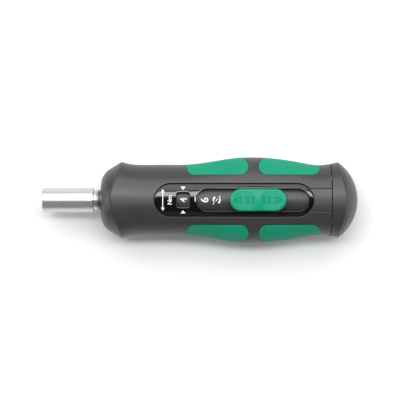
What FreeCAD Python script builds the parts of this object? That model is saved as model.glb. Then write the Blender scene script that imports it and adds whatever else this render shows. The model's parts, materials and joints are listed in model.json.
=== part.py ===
import FreeCAD, Part

import math
import os

from FreeCAD import Vector

# Slide-set torque screwdriver with an oval two-component handle, in millimetres.
#
# Every piece is modelled in the tool's own axis frame: the drive axis is X, the front
# face of the handle is x = 0, the handle runs towards +X and the bit holder towards -X.
# +Z is the side that carries the slide button and the value window. The finished pieces
# are then placed so that the tool lies on its back, with z = 0 under the handle and
# x = 0 halfway along the whole tool.

# ---------------------------------------------------------------- outer form of the handle
HALF_THICK = 13.2  # the drive axis to the flat-lying back, and to the front face
SECTION_POWER = 2.25  # 2 is an ellipse, higher is squarer
SECTION_POINTS = 24
FRONT_FLANGE = (8.3, 15.7)  # distance from the front face, half width
WAIST_HALF = 14.5
WAIST_START_X = 15.0
WAIST_END_X = 34.0
BELLY_HALF = 17.6
REAR_WAIST_HALF = 14.35
REAR_FLANGE_HALF = 15.6
REAR_WAIST_BEFORE_SPLIT = 5.0
REAR_FLANGE_BEHIND_SPLIT = 3.1
TAIL_LENGTH = 11.2  # parting line of the tail to the top of the rear dome
# the swell of the grip: share of its length, share of its rise over the waist on that side
SWELL = ((0.155, 0.27), (0.34, 0.80), (0.515, 1.0), (0.70, 0.775), (0.88, 0.29))
FACE_RADIUS = 6.4
NOSE_ARC_MIDDLE = (1.15, 10.35)  # x, radius
NOSE_ARC_END = (3.3, 12.55)
REAR_DOME_RADIUS = 19.0

# ---------------------------------------------------------------- slide, scale and slot
POSITION_PITCH = 8.7  # slide travel from one torque value to the next
RIGID_STEP = 4.6  # further travel from the highest value to the locked position
STOP_PLAY_FRONT = 0.15
STOP_PLAY_REAR = 0.6
BUTTON_START = 52.6
BUTTON_LENGTH = 22.8
BUTTON_WIDTH = 9.0
BUTTON_TOP = 15.3  # height over the drive axis
BUTTON_EDGE_ROUND = 0.7
DISH_RADIUS = 13.0
DISH_DEPTH = 0.85
DISH_OFFSET = 5.6
MARK_DEPTH = 0.3
MARK_WIDTH = 3.2
BEZEL_START = 22.1
BEZEL_WIDTH = 13.3
BEZEL_INSET = 0.25  # below the surface of the handle
BEZEL_BOTTOM = 11.55
BEZEL_END_RIM = 1.8
SLOT_WIDTH = 9.3
WINDOW_X = 33.7
WINDOW_LENGTH = 5.1
WINDOW_WIDTH = 6.5
WINDOW_CORNER = 1.0
COVER_WIDTH = 9.3
COVER_LENGTH = 7.5
STRIP_START = 21.5
STRIP_REAR_REACH = 9.5  # strip behind the rear end of the button
STRIP_WIDTH = 11.0
STRIP_TOP = 11.4
STRIP_BOTTOM = 9.95
STRIP_END_ROUND = 3.0
KEY_X = 65.0
KEY_LENGTH = 6.0
KEY_WIDTH = 4.0
KEY_BOTTOM = 8.4
DETENT_X = 60.0
DETENT_Y = 4.7
DETENT_GROOVE_RADIUS = 1.0
DETENT_GROOVE_DEPTH = 0.4
DETENT_GAP = 0.1
LEAF_LENGTH = 14.0
LEAF_WIDTH = 1.6
LEAF_THICK = 0.25
LEAF_FLOOR = 9.0
FIXING_OFFSET = 7.6  # button screws from the middle of the button
FIXING_RADIUS = 0.8
FIXING_HEAD_RADIUS = 1.5
FIXING_LENGTH = 3.2

# ---------------------------------------------------------------- soft inlays of the grip
INLAY_DEPTH = 1.6
INLAY_EDGE_Y = 10.2
INLAY_ROUND = 3.5
INLAY_START_BEHIND_WAIST = 1.0
INLAY_END_BEHIND_WAIST = 0.5
BAND_HALF = 2.05  # half of the hard band between the front and rear inlays
INLAY_GAP = 0.04

# ---------------------------------------------------------------- bit holder and spindle
BLADE_REACH = 24.1
HOLDER_RADIUS = 5.0
HOLDER_REAR = -3.1
HOLDER_EDGE = 0.45
NECK_RADIUS = 4.2
NECK_TAPER = 0.6
HEX_ACROSS_FLATS = 6.35
HEX_PLAY = 0.06
HEX_DEPTH = 10.5
HEX_MOUTH = 0.5
MAGNET_RADIUS = 2.4
MAGNET_LENGTH = 3.0
SNAP_FROM_TIP = 3.2
SNAP_THICK = 0.7
SNAP_INNER = 3.3
SNAP_OUTER = 4.1
SNAP_OPENING = 1.2
TAIL_RADIUS = 2.4
TAIL_PIN_X = 91.0

# ---------------------------------------------------------------- bearings and clutch
RUNNING_GAP = 0.05
SEAT_GAP = 0.02
BUSH_FRONT = 0.25
BUSH_RADIUS = 5.6
BUSH_FLANGE_X = 7.3
BUSH_FLANGE_RADIUS = 7.0
BUSH_END = 8.6
WASHER_THICK = 0.8
WASHER_RADIUS = 7.4
GLIDE_THICK = 1.0
RING_LENGTH = 7.3
RING_RADIUS = 7.4
DOG_RADIUS = 8.9
DOG_LENGTH = 4.5
DOG_ROOT_RADIUS = 7.8
POCKET_COUNT = 12  # roller pockets and dog teeth of the driven ring
ROLLER_COUNT = 6
ROLLER_RADIUS = 1.25
ROLLER_INNER = 4.4  # radial rollers: their ends, from the drive axis
ROLLER_OUTER = 6.6
POCKET_DEPTH = 0.6
FACE_CLEARANCE = 0.8
PRESSURE_LENGTH = 6.0
LUG_COUNT = 3
LUG_WIDTH = 3.0
LUG_RADIUS = 7.5
CLUTCH_LIFT = 0.7
PIN_RADIUS = 1.0
PIN_LENGTH = 14.4
BARREL_INNER = 6.7
BARREL_OUTER = 7.6
BARREL_SLOT_SPARE = 1.7
BARREL_FLANGE_RADIUS = 10.5
BARREL_FLANGE_THICK = 4.0
BARREL_FLANGE_FLAT = 9.75
BARREL_KEY_WIDTH = 3.0
BARREL_KEY_RADIUS = 11.6
LATCH_PIN_RADIUS = 1.0
LATCH_TIP_RADIUS = 0.4
LATCH_TIP_LENGTH = 0.6
LATCH_PIN_LENGTH = 1.9
LATCH_COUNT = 3
HIGH_SEAT_X = 50.0
LOW_SEAT_X = 60.0
SEAT_THICK = 3.0
HIGH_SEAT_INNER = 4.3
LATCH_RELIEF = 1.4
HIGH_LATCH_TURN = 30.0
LOW_LATCH_TURN = 90.0
HIGH_SPRING_RADIUS = 5.35
HIGH_WIRE = (2.0, 1.7)  # flat wire: radial width, thickness along the axis
HIGH_TURNS = 6.0
LOW_SPRING_RADIUS = 3.4
LOW_WIRE = (1.2, 1.4)
LOW_TURNS = 9.0
SLEEVE_OUTER = 9.5
SLEEVE_LENGTH = 46.2
DOG_ENGAGEMENT = 3.3  # overlap of the sleeve's teeth and the ring's in the locked position
TOOTH_PLAY = 0.12
PLUG_THICK = 4.0
PLUG_X = 84.0
CLIP_THICK = 0.8
CLIP_RADIUS = 4.0
CLIP_GROOVE_RADIUS = 2.0
MAIN_BORE = 9.9
THRUST_BORE = 7.7

# ---------------------------------------------------------------- tail of the handle
RIM_WALL = 0.95  # tail ring's rim around the end cap
CAP_GAP = 0.06
WEB_THICK = 2.5
CAP_WALL = 1.8
PEG_RADIUS = 3.0
PEG_BORE = 1.8
SPIGOT_LENGTH = 1.3
SPIGOT_RADIUS = 9.7
SCREW_RADIUS = 1.0
SCREW_CIRCLE = 12.1
SCREW_LENGTH = 11.0
SCREW_HEAD_RADIUS = 1.9

# ---------------------------------------------------------------- places worked out
TRAVEL_FRONT = POSITION_PITCH + RIGID_STEP
TRAVEL_REAR = POSITION_PITCH
BUTTON_END = BUTTON_START + BUTTON_LENGTH
BUTTON_MIDDLE = BUTTON_START + BUTTON_LENGTH / 2
SLOT_START = BUTTON_START - TRAVEL_FRONT - STOP_PLAY_FRONT
SLOT_END = BUTTON_END + TRAVEL_REAR + STOP_PLAY_REAR
BEZEL_END = SLOT_END + BEZEL_END_RIM
STRIP_END = BUTTON_END + STRIP_REAR_REACH
SPLIT_X = BEZEL_END + COVER_LENGTH
REAR_WAIST_X = SPLIT_X - REAR_WAIST_BEFORE_SPLIT
REAR_FLANGE_X = SPLIT_X + REAR_FLANGE_BEHIND_SPLIT
HANDLE_LENGTH = SPLIT_X + TAIL_LENGTH
GRIP_LENGTH = REAR_WAIST_X - WAIST_END_X
BELLY_X = WAIST_END_X + SWELL[2][0] * GRIP_LENGTH
TIP_X = -BLADE_REACH
CHANNEL_START = STRIP_START - TRAVEL_FRONT - 0.3
CHANNEL_WIDTH = STRIP_WIDTH + 0.3
CHANNEL_FLOOR = STRIP_BOTTOM - 0.2
GLIDE_X = BUSH_END + WASHER_THICK + SEAT_GAP
REAR_WASHER_X = GLIDE_X + GLIDE_THICK + SEAT_GAP
RING_X = REAR_WASHER_X + WASHER_THICK
RING_END = RING_X + RING_LENGTH
PIN_X = RING_X + (RING_LENGTH - DOG_LENGTH) / 2 + 0.2
ROLLER_X = RING_END + ROLLER_RADIUS - POCKET_DEPTH
PRESSURE_X = RING_END + FACE_CLEARANCE
PRESSURE_END = PRESSURE_X + PRESSURE_LENGTH
BARREL_X = RING_END + 0.6
SLEEVE_X = RING_END - DOG_ENGAGEMENT + TRAVEL_FRONT
SLEEVE_END = SLEEVE_X + SLEEVE_LENGTH
BARREL_FLANGE_X = SPLIT_X - SPIGOT_LENGTH - 0.1 - BARREL_FLANGE_THICK
BARREL_END = BARREL_FLANGE_X + BARREL_FLANGE_THICK
WEB_END = SPLIT_X + WEB_THICK
LATCH_TIP = BARREL_OUTER - LATCH_PIN_LENGTH
TOTAL_LENGTH = BLADE_REACH + HANDLE_LENGTH
PLACE = Vector(BLADE_REACH - TOTAL_LENGTH / 2, 0, HALF_THICK)

# slide positions, from the rest position at the middle value
SLIDE_STOPS = (TRAVEL_REAR, 0.0, -POSITION_PITCH, -TRAVEL_FRONT)

X_AXIS = Vector(1, 0, 0)
BIG = 60.0


# ---------------------------------------------------------------- helpers
def turned(profile):
    """Solid of revolution about X of a closed profile of (x, radius) corners."""
    points = [Vector(x, r, 0) for x, r in profile]
    face = Part.Face(Part.makePolygon(points + points[:1]))
    return face.revolve(Vector(), X_AXIS, 360)


def tube(x_start, x_end, outer, inner=0.0):
    """Round bar or tube along X."""
    bar = Part.makeCylinder(outer, x_end - x_start, Vector(x_start, 0, 0), X_AXIS)
    if inner:
        bar = bar.cut(Part.makeCylinder(inner, x_end - x_start + 2, Vector(x_start - 1, 0, 0), X_AXIS))
    return bar


def block(x_start, x_end, half_width, z_low, z_high):
    """Box that is symmetric about the XZ plane."""
    return Part.makeBox(x_end - x_start, 2 * half_width, z_high - z_low, Vector(x_start, -half_width, z_low))


def stadium(x_start, x_end, width, z_low, z_high, grow=0.0):
    """Upright prism with a straight middle and full-round ends."""
    r = width / 2 + grow
    a = x_start - grow + r
    b = x_end + grow - r
    slab = Part.makeBox(b - a, 2 * r, z_high - z_low, Vector(a, -r, z_low))
    ends = [Part.makeCylinder(r, z_high - z_low, Vector(x, 0, z_low)) for x in (a, b)]
    return slab.multiFuse(ends).removeSplitter()


def around(shape, count, start=0.0):
    """Copies of a shape spaced evenly about the drive axis."""
    return [shape.rotated(Vector(), X_AXIS, start + 360.0 * i / count) for i in range(count)]


def radial_bar(x, low, high, radius):
    """Round bar square to the drive axis, along +Z."""
    return Part.makeCylinder(radius, high - low, Vector(x, 0, low))


def coil(x_start, x_end, radius, wire, turns):
    """Compression spring of flat wire about X, with its ends ground flat."""
    width, thick = wire
    pitch = (x_end - x_start) / turns
    helix = Part.makeHelix(pitch, x_end - x_start + 2 * thick, radius)
    helix.rotate(Vector(), Vector(0, 1, 0), 90)
    helix.translate(Vector(x_start - thick, 0, 0))
    first = helix.Edges[0]
    start = first.valueAt(first.FirstParameter)
    corners = [
        start + Vector(along * thick / 2, 0, out * width / 2)
        for along, out in ((-1, -1), (1, -1), (1, 1), (-1, 1))
    ]
    section_wire = Part.makePolygon(corners + corners[:1])
    body = Part.Wire(helix.Edges).makePipeShell([section_wire], True, True)
    return body.common(tube(x_start, x_end, radius + width))


# ---------------------------------------------------------------- the handle's form
def side_stations():
    """Distance from the front face and half width, at each section of the handle."""
    stations = [(-4.0, FRONT_FLANGE[1] + 1.2), (3.0, FRONT_FLANGE[1] + 0.9), FRONT_FLANGE]
    stations += [(11.5, WAIST_HALF + 0.38), (WAIST_START_X, WAIST_HALF + 0.02)]
    stations += [((WAIST_START_X + WAIST_END_X) / 2, WAIST_HALF), (WAIST_END_X, WAIST_HALF + 0.04)]
    for share, rise in SWELL:
        low = WAIST_HALF if share < SWELL[2][0] else REAR_WAIST_HALF
        stations.append((WAIST_END_X + share * GRIP_LENGTH, low + rise * (BELLY_HALF - low)))
    stations.append((REAR_WAIST_X, REAR_WAIST_HALF))
    stations.append((SPLIT_X - 0.2, REAR_WAIST_HALF + 0.5))
    stations.append((REAR_FLANGE_X, REAR_FLANGE_HALF))
    stations.append((HANDLE_LENGTH + 1.0, REAR_FLANGE_HALF + 1.4))
    return stations


def section(x, half_width, half_thick):
    """Oval section of the handle: a superellipse."""
    points = []
    for i in range(SECTION_POINTS):
        a = 2 * math.pi * i / SECTION_POINTS
        c, s = math.cos(a), math.sin(a)
        y = math.copysign(abs(c) ** (2 / SECTION_POWER), c) * half_width
        z = math.copysign(abs(s) ** (2 / SECTION_POWER), s) * half_thick
        points.append(Vector(x, y, z))
    curve = Part.BSplineCurve()
    curve.interpolate(Points=points, PeriodicFlag=True)
    return Part.Wire(curve.toShape())


def oval_body(inset=0.0):
    """The handle's oval length, with no domes, drawn in by an inset."""
    wires = [section(x, w - inset, HALF_THICK - inset) for x, w in side_stations()]
    return Part.makeLoft(wires, True, False)


def dome_limit():
    """The turned front nose and rear dome that close the oval length."""
    nose = Part.Arc(
        Vector(0, FACE_RADIUS, 0),
        Vector(*NOSE_ARC_MIDDLE, 0),
        Vector(*NOSE_ARC_END, 0),
    ).toShape()
    slope = (FRONT_FLANGE[1] - NOSE_ARC_END[1]) / (FRONT_FLANGE[0] - NOSE_ARC_END[0])
    wide = BELLY_HALF + 6
    cone_end = NOSE_ARC_END[0] + (wide - NOSE_ARC_END[1]) / slope
    centre = HANDLE_LENGTH - REAR_DOME_RADIUS
    low = math.sqrt(0.5) * REAR_DOME_RADIUS
    dome = Part.Arc(
        Vector(centre, REAR_DOME_RADIUS, 0),
        Vector(centre + low, low, 0),
        Vector(HANDLE_LENGTH, 0, 0),
    ).toShape()
    corners = [
        [Vector(*NOSE_ARC_END, 0), Vector(cone_end, wide, 0), Vector(centre, wide, 0), Vector(centre, REAR_DOME_RADIUS, 0)],
        [Vector(HANDLE_LENGTH, 0, 0), Vector(), Vector(0, FACE_RADIUS, 0)],
    ]
    lines = [Part.makeLine(a, b) for run in corners for a, b in zip(run, run[1:])]
    outline = Part.Wire([edge for group in Part.sortEdges([nose, dome] + lines) for edge in group])
    return Part.Face(outline).revolve(Vector(), X_AXIS, 360)


def inlay_outline(flat_x, round_x, grow=0.0):
    """Upright prism of one soft inlay: a rounded corner at flat_x, a full round end at round_x."""
    way = 1 if round_x > flat_x else -1
    r = INLAY_ROUND + grow
    edge = INLAY_EDGE_Y - grow
    out = BELLY_HALF + 4
    flat = flat_x - way * grow
    tip = round_x + way * grow
    mid = edge + r
    low = math.sqrt(0.5) * r

    def at(x, y):
        return Vector(x, y, -BIG / 2)

    edges = [
        Part.makeLine(at(flat, out), at(flat, mid)),
        Part.Arc(at(flat, mid), at(flat + way * (r - low), mid - low), at(flat + way * r, edge)).toShape(),
        Part.makeLine(at(flat + way * r, edge), at(tip - way * r, edge)),
        Part.Arc(at(tip - way * r, edge), at(tip, mid), at(tip - way * r, mid + r)).toShape(),
        Part.makeLine(at(tip - way * r, mid + r), at(tip - way * r, out)),
        Part.makeLine(at(tip - way * r, out), at(flat, out)),
    ]
    return Part.Face(Part.Wire(edges)).extrude(Vector(0, 0, BIG))


INLAY_SPANS = {
    "front": (WAIST_END_X + INLAY_START_BEHIND_WAIST, BELLY_X - BAND_HALF),
    "rear": (REAR_WAIST_X + INLAY_END_BEHIND_WAIST, BELLY_X + BAND_HALF),
}


def mirrored(shape):
    """The same shape on the other side of the tool."""
    return shape.mirror(Vector(), Vector(0, 1, 0))


# ---------------------------------------------------------------- handle pieces
def handle_shell(form, core):
    """Hard front body with the channel of the slide, the clutch bore and the inlay beds."""
    shell = form.common(block(-1, SPLIT_X, BIG / 2, -BIG / 2, BIG / 2))
    bores = [
        tube(-1, BUSH_FLANGE_X, BUSH_RADIUS + SEAT_GAP),
        tube(BUSH_FLANGE_X - SEAT_GAP, BUSH_END, BUSH_FLANGE_RADIUS + SEAT_GAP),
        tube(BUSH_END, RING_X, THRUST_BORE),
        tube(RING_X, SPLIT_X + 1, MAIN_BORE),
        tube(BARREL_FLANGE_X - SEAT_GAP, SPLIT_X + 1, BARREL_FLANGE_RADIUS + SEAT_GAP),
    ]
    keyway = block(BARREL_FLANGE_X - SEAT_GAP, SPLIT_X + 1, BARREL_KEY_WIDTH / 2 + SEAT_GAP, -BARREL_KEY_RADIUS - SEAT_GAP, 0)
    channel = block(CHANNEL_START, SPLIT_X + 1, CHANNEL_WIDTH / 2, CHANNEL_FLOOR, BEZEL_BOTTOM)
    key_path = block(
        KEY_X - KEY_LENGTH / 2 - TRAVEL_FRONT - 0.4,
        KEY_X + KEY_LENGTH / 2 + TRAVEL_REAR + 0.4,
        KEY_WIDTH / 2 + 0.25,
        KEY_BOTTOM,
        CHANNEL_FLOOR + 0.1,
    )
    leaf_bed = Part.makeBox(
        LEAF_LENGTH + 1.0,
        LEAF_WIDTH + 0.4,
        CHANNEL_FLOOR - LEAF_FLOOR + 0.1,
        Vector(DETENT_X - LEAF_LENGTH / 2 - 0.5, DETENT_Y - LEAF_WIDTH / 2 - 0.2, LEAF_FLOOR),
    )
    bezel_bed = stadium(BEZEL_START, BEZEL_END, BEZEL_WIDTH, BEZEL_BOTTOM, BIG / 2, grow=INLAY_GAP * 2)
    cover_bed = block(BEZEL_END - BEZEL_WIDTH / 2, SPLIT_X + 1, COVER_WIDTH / 2 + INLAY_GAP, BEZEL_BOTTOM, BIG / 2)
    shell = shell.cut(bores + [keyway, channel, key_path, leaf_bed, bezel_bed, cover_bed])
    shell = shell.cut(screw_bodies(SEAT_GAP))
    beds = []
    for flat_x, round_x in INLAY_SPANS.values():
        prism = inlay_outline(flat_x, round_x, INLAY_GAP).cut(core)
        beds += [prism, mirrored(prism)]
    return shell.cut(beds)


def grip(form, core, span, left):
    """One soft inlay, flush with the handle and wrapped from its front face to its back."""
    prism = inlay_outline(*INLAY_SPANS[span])
    inlay = form.common(prism).cut(core)
    return inlay if left else mirrored(inlay)


def scale_bezel():
    """Crowned cover plate with the value window and the slot of the slide button."""
    plate = oval_body(BEZEL_INSET).common(stadium(BEZEL_START, BEZEL_END, BEZEL_WIDTH, BEZEL_BOTTOM, BIG / 2))
    slot = stadium(SLOT_START, SLOT_END, SLOT_WIDTH, 0, BIG / 2)
    window = block(WINDOW_X - WINDOW_LENGTH / 2, WINDOW_X + WINDOW_LENGTH / 2, WINDOW_WIDTH / 2, 0, BIG / 2)
    uprights = [edge for edge in window.Edges if abs(edge.tangentAt(edge.FirstParameter).z) > 0.99]
    return plate.cut([slot, window.makeFillet(WINDOW_CORNER, uprights)])


def channel_cover(form):
    """Filler between the bezel and the tail, flush with the handle."""
    strip = block(BEZEL_END - BEZEL_WIDTH / 2, SPLIT_X, COVER_WIDTH / 2, BEZEL_BOTTOM, BIG / 2)
    hollow = stadium(BEZEL_START, BEZEL_END, BEZEL_WIDTH, 0, BIG / 2, grow=INLAY_GAP * 2)
    return form.common(strip).cut(hollow)


def screw_bodies(play=0.0):
    """The four tail screws, countersunk in the web of the tail ring."""
    head = WEB_END - 0.1
    neck = head - (SCREW_HEAD_RADIUS - SCREW_RADIUS)
    profile = [
        (head - SCREW_LENGTH - play, 0),
        (head - SCREW_LENGTH - play, SCREW_RADIUS + play),
        (neck, SCREW_RADIUS + play),
        (head, SCREW_HEAD_RADIUS + play),
        (head + play, SCREW_HEAD_RADIUS + play),
        (head + play, 0),
    ]
    screw = turned(profile)
    screw.translate(Vector(0, 0, SCREW_CIRCLE))
    return around(screw, 4, 45.0)


def tail_ring(form):
    """Ring behind the parting line, with the web that closes the clutch bore."""
    ring = form.common(block(SPLIT_X, BIG * 3, BIG / 2, -BIG / 2, BIG / 2))
    recess = oval_body(RIM_WALL).common(block(WEB_END, BIG * 3, BIG / 2, -BIG / 2, BIG / 2))
    ring = ring.cut(recess).fuse(tube(SPLIT_X - SPIGOT_LENGTH, SPLIT_X + 0.5, SPIGOT_RADIUS, SPIGOT_RADIUS - 1.8))
    cuts = [tube(SPLIT_X - 5, WEB_END + 1, PEG_RADIUS + SEAT_GAP)] + screw_bodies(SEAT_GAP)
    heads = Part.makeCylinder(SCREW_HEAD_RADIUS + SEAT_GAP, 1, Vector(WEB_END - 0.1, 0, SCREW_CIRCLE), X_AXIS)
    return ring.cut(cuts + around(heads, 4, 45.0))


def end_cap(form):
    """Domed cap in the rim of the tail ring, hollow, held by its centre peg."""
    rear = block(WEB_END + CAP_GAP, BIG * 3, BIG / 2, -BIG / 2, BIG / 2)
    dome = form.common(oval_body(RIM_WALL + CAP_GAP)).common(rear)
    inside = Part.makeSphere(REAR_DOME_RADIUS - CAP_WALL, Vector(HANDLE_LENGTH - REAR_DOME_RADIUS, 0, 0))
    inside = inside.common(oval_body(RIM_WALL + CAP_WALL)).common(rear)
    peg = tube(SPLIT_X + 0.3, HANDLE_LENGTH - CAP_WALL + 0.4, PEG_RADIUS, PEG_BORE)
    return dome.cut(inside).fuse(peg)


# ---------------------------------------------------------------- slide pieces
def button_marks():
    """Recessed marks of the button: an outlined arrow head at each end and bars between."""
    half = MARK_WIDTH / 2
    line = 0.45

    def frame(x_start, x_end):
        outer = block(x_start, x_end, half, BUTTON_TOP - 4, BUTTON_TOP + 2)
        return outer

    def arrow(base_x, tip_x):
        way = 1 if tip_x > base_x else -1

        def triangle(back, front, wide):
            corners = [Vector(back, -wide, 0), Vector(back, wide, 0), Vector(front, 0, 0)]
            face = Part.Face(Part.makePolygon(corners + corners[:1]))
            face.translate(Vector(0, 0, BUTTON_TOP - 4))
            return face.extrude(Vector(0, 0, 6))

        outer = triangle(base_x, tip_x, half)
        inner = triangle(base_x + way * line, tip_x - way * 2.2 * line, half - 1.7 * line)
        return outer.cut(inner)

    marks = []
    for way in (-1, 1):
        m = BUTTON_MIDDLE
        marks.append(arrow(m + way * 6.9, m + way * 10.0))
        for near, far in ((1.7, 2.9), (4.1, 5.2)):
            a, b = sorted((m + way * near, m + way * far))
            marks.append(frame(a, b))
    return marks


def button_skin(lower):
    """Crowned top of the button with a cross ridge between two thumb dishes."""
    height = BUTTON_TOP - lower
    crown_radius = 16.0
    crown = Part.makeCylinder(crown_radius, BUTTON_LENGTH + 4, Vector(BUTTON_START - 2, 0, height - crown_radius), X_AXIS)
    dishes = []
    for way in (-1, 1):
        centre = Vector(BUTTON_MIDDLE + way * DISH_OFFSET, -BIG / 2, height - DISH_DEPTH + DISH_RADIUS)
        dishes.append(Part.makeCylinder(DISH_RADIUS, BIG, centre, Vector(0, 1, 0)))
    return crown.cut(dishes)


def slide_button():
    """Thumb button, standing through the slot and seated on the value strip."""
    blank = stadium(BUTTON_START, BUTTON_END, BUTTON_WIDTH, STRIP_TOP, BUTTON_TOP + 1)
    button = blank.common(button_skin(0.0))
    rim = [
        edge
        for edge in button.Edges
        if edge.BoundBox.ZMin > STRIP_TOP + 1 and not inner_edge(edge)
    ]
    button = button.makeFillet(BUTTON_EDGE_ROUND, rim)
    floor = button_skin(MARK_DEPTH)
    cuts = [mark.cut(floor) for mark in button_marks()]
    pilots = [
        Part.makeCylinder(FIXING_RADIUS + SEAT_GAP, FIXING_LENGTH, Vector(x, 0, STRIP_BOTTOM))
        for x in fixing_places()
    ]
    return button.cut(cuts + pilots)


def inner_edge(edge):
    """True for an edge that crosses the button instead of following its rim."""
    box = edge.BoundBox
    return box.XLength < 0.01 and box.YLength > BUTTON_WIDTH / 2


def fixing_places():
    return (BUTTON_MIDDLE - FIXING_OFFSET, BUTTON_MIDDLE + FIXING_OFFSET)


def button_screws():
    """Two countersunk screws that hold the button from under the strip."""
    drop = FIXING_HEAD_RADIUS - FIXING_RADIUS
    screws = []
    for x in fixing_places():
        head = Part.makeCone(FIXING_HEAD_RADIUS, FIXING_RADIUS, drop, Vector(x, 0, STRIP_BOTTOM))
        shank = Part.makeCylinder(FIXING_RADIUS, FIXING_LENGTH - SEAT_GAP, Vector(x, 0, STRIP_BOTTOM))
        screws.append(head.fuse(shank))
    return Part.makeCompound(screws)


def value_strip():
    """Strip that carries the values under the window, with the key of the sleeve."""
    strip = block(STRIP_START, STRIP_END, STRIP_WIDTH / 2, STRIP_BOTTOM, STRIP_TOP)
    corners = [
        edge
        for edge in strip.Edges
        if abs(edge.tangentAt(edge.FirstParameter).z) > 0.99
    ]
    strip = strip.makeFillet(STRIP_END_ROUND, corners)
    key = block(KEY_X - KEY_LENGTH / 2, KEY_X + KEY_LENGTH / 2, KEY_WIDTH / 2, KEY_BOTTOM, STRIP_BOTTOM + 0.5)
    strip = strip.fuse(key)
    sink = STRIP_BOTTOM + DETENT_GROOVE_DEPTH - DETENT_GROOVE_RADIUS
    grooves = [
        Part.makeCylinder(
            DETENT_GROOVE_RADIUS,
            LEAF_WIDTH + 0.4,
            Vector(DETENT_X - stop, DETENT_Y - LEAF_WIDTH / 2 - 0.2, sink),
            Vector(0, 1, 0),
        )
        for stop in SLIDE_STOPS
    ]
    drop = FIXING_HEAD_RADIUS - FIXING_RADIUS
    holes = []
    for x in fixing_places():
        holes.append(Part.makeCylinder(FIXING_RADIUS + SEAT_GAP, 4, Vector(x, 0, STRIP_BOTTOM - 1)))
        cone = Part.makeCone(FIXING_HEAD_RADIUS + SEAT_GAP, FIXING_RADIUS + SEAT_GAP, drop, Vector(x, 0, STRIP_BOTTOM))
        holes.append(cone)
    return strip.cut(grooves + holes)


def detent_spring():
    """Leaf spring in the channel floor, its crest in a groove of the value strip."""
    crest = STRIP_BOTTOM + DETENT_GROOVE_DEPTH - DETENT_GAP
    half = LEAF_LENGTH / 2
    foot = LEAF_FLOOR
    y = DETENT_Y - LEAF_WIDTH / 2
    outline = []
    for lift in (0.0, LEAF_THICK):
        outline.append(
            [
                Vector(DETENT_X - half, y, foot + lift),
                Vector(DETENT_X - half + 2.5, y, foot + lift),
                Vector(DETENT_X - 0.6, y, crest - LEAF_THICK - 0.35 + lift),
                Vector(DETENT_X, y, crest - LEAF_THICK + lift),
                Vector(DETENT_X + 0.6, y, crest - LEAF_THICK - 0.35 + lift),
                Vector(DETENT_X + half - 2.5, y, foot + lift),
                Vector(DETENT_X + half, y, foot + lift),
            ]
        )
    ring = outline[0] + outline[1][::-1]
    return Part.Face(Part.makePolygon(ring + ring[:1])).extrude(Vector(0, LEAF_WIDTH, 0))


def tooth_space(x_start, x_end, r_low, r_high, narrow=0.0):
    """One of the teeth that lock the sleeve to the driven ring, straight and radial."""
    pitch = math.pi * (r_low + r_high) / POCKET_COUNT
    width = pitch / 2 - narrow
    return Part.makeBox(x_end - x_start, width, r_high - r_low, Vector(x_start, -width / 2, r_low))


def selector_sleeve():
    """Sleeve around the barrel: latch pockets inside, locking teeth at its front."""
    sleeve = tube(SLEEVE_X, SLEEVE_END, SLEEVE_OUTER, BARREL_OUTER + RUNNING_GAP)
    mouth = tube(SLEEVE_X - 1, SLEEVE_X + DOG_LENGTH, DOG_RADIUS + TOOTH_PLAY)
    sleeve = sleeve.cut(mouth)
    tooth = tooth_space(SLEEVE_X, SLEEVE_X + DOG_LENGTH + 0.2, DOG_ROOT_RADIUS, DOG_RADIUS + 0.3, TOOTH_PLAY)
    sleeve = sleeve.multiFuse(around(tooth, POCKET_COUNT, 180.0 / POCKET_COUNT))
    cuts = []
    for seat_x, free_stop, turn in (
        (HIGH_SEAT_X, TRAVEL_REAR, HIGH_LATCH_TURN),
        (LOW_SEAT_X, 0.0, LOW_LATCH_TURN),
    ):
        pocket = radial_bar(seat_x - free_stop, BARREL_OUTER, BARREL_OUTER + 1.2, LATCH_RELIEF)
        cuts += around(pocket, LATCH_COUNT, turn)
    cuts.append(
        block(
            KEY_X - KEY_LENGTH / 2 - SEAT_GAP,
            KEY_X + KEY_LENGTH / 2 + SEAT_GAP,
            KEY_WIDTH / 2 + SEAT_GAP,
            BARREL_OUTER - 1,
            SLEEVE_OUTER + 1,
        )
    )
    return sleeve.cut(cuts)


# ---------------------------------------------------------------- spindle pieces
def hexagon(across_flats, x_start, x_end):
    """Hexagonal bar along X, its flats facing +Z and -Z."""
    r = across_flats / 2 / math.cos(math.pi / 6)
    corners = []
    for i in range(6):
        a = math.pi / 3 * i
        corners.append(Vector(x_start, r * math.cos(a), r * math.sin(a)))
    return Part.Face(Part.makePolygon(corners + corners[:1])).extrude(Vector(x_end - x_start, 0, 0))


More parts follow.
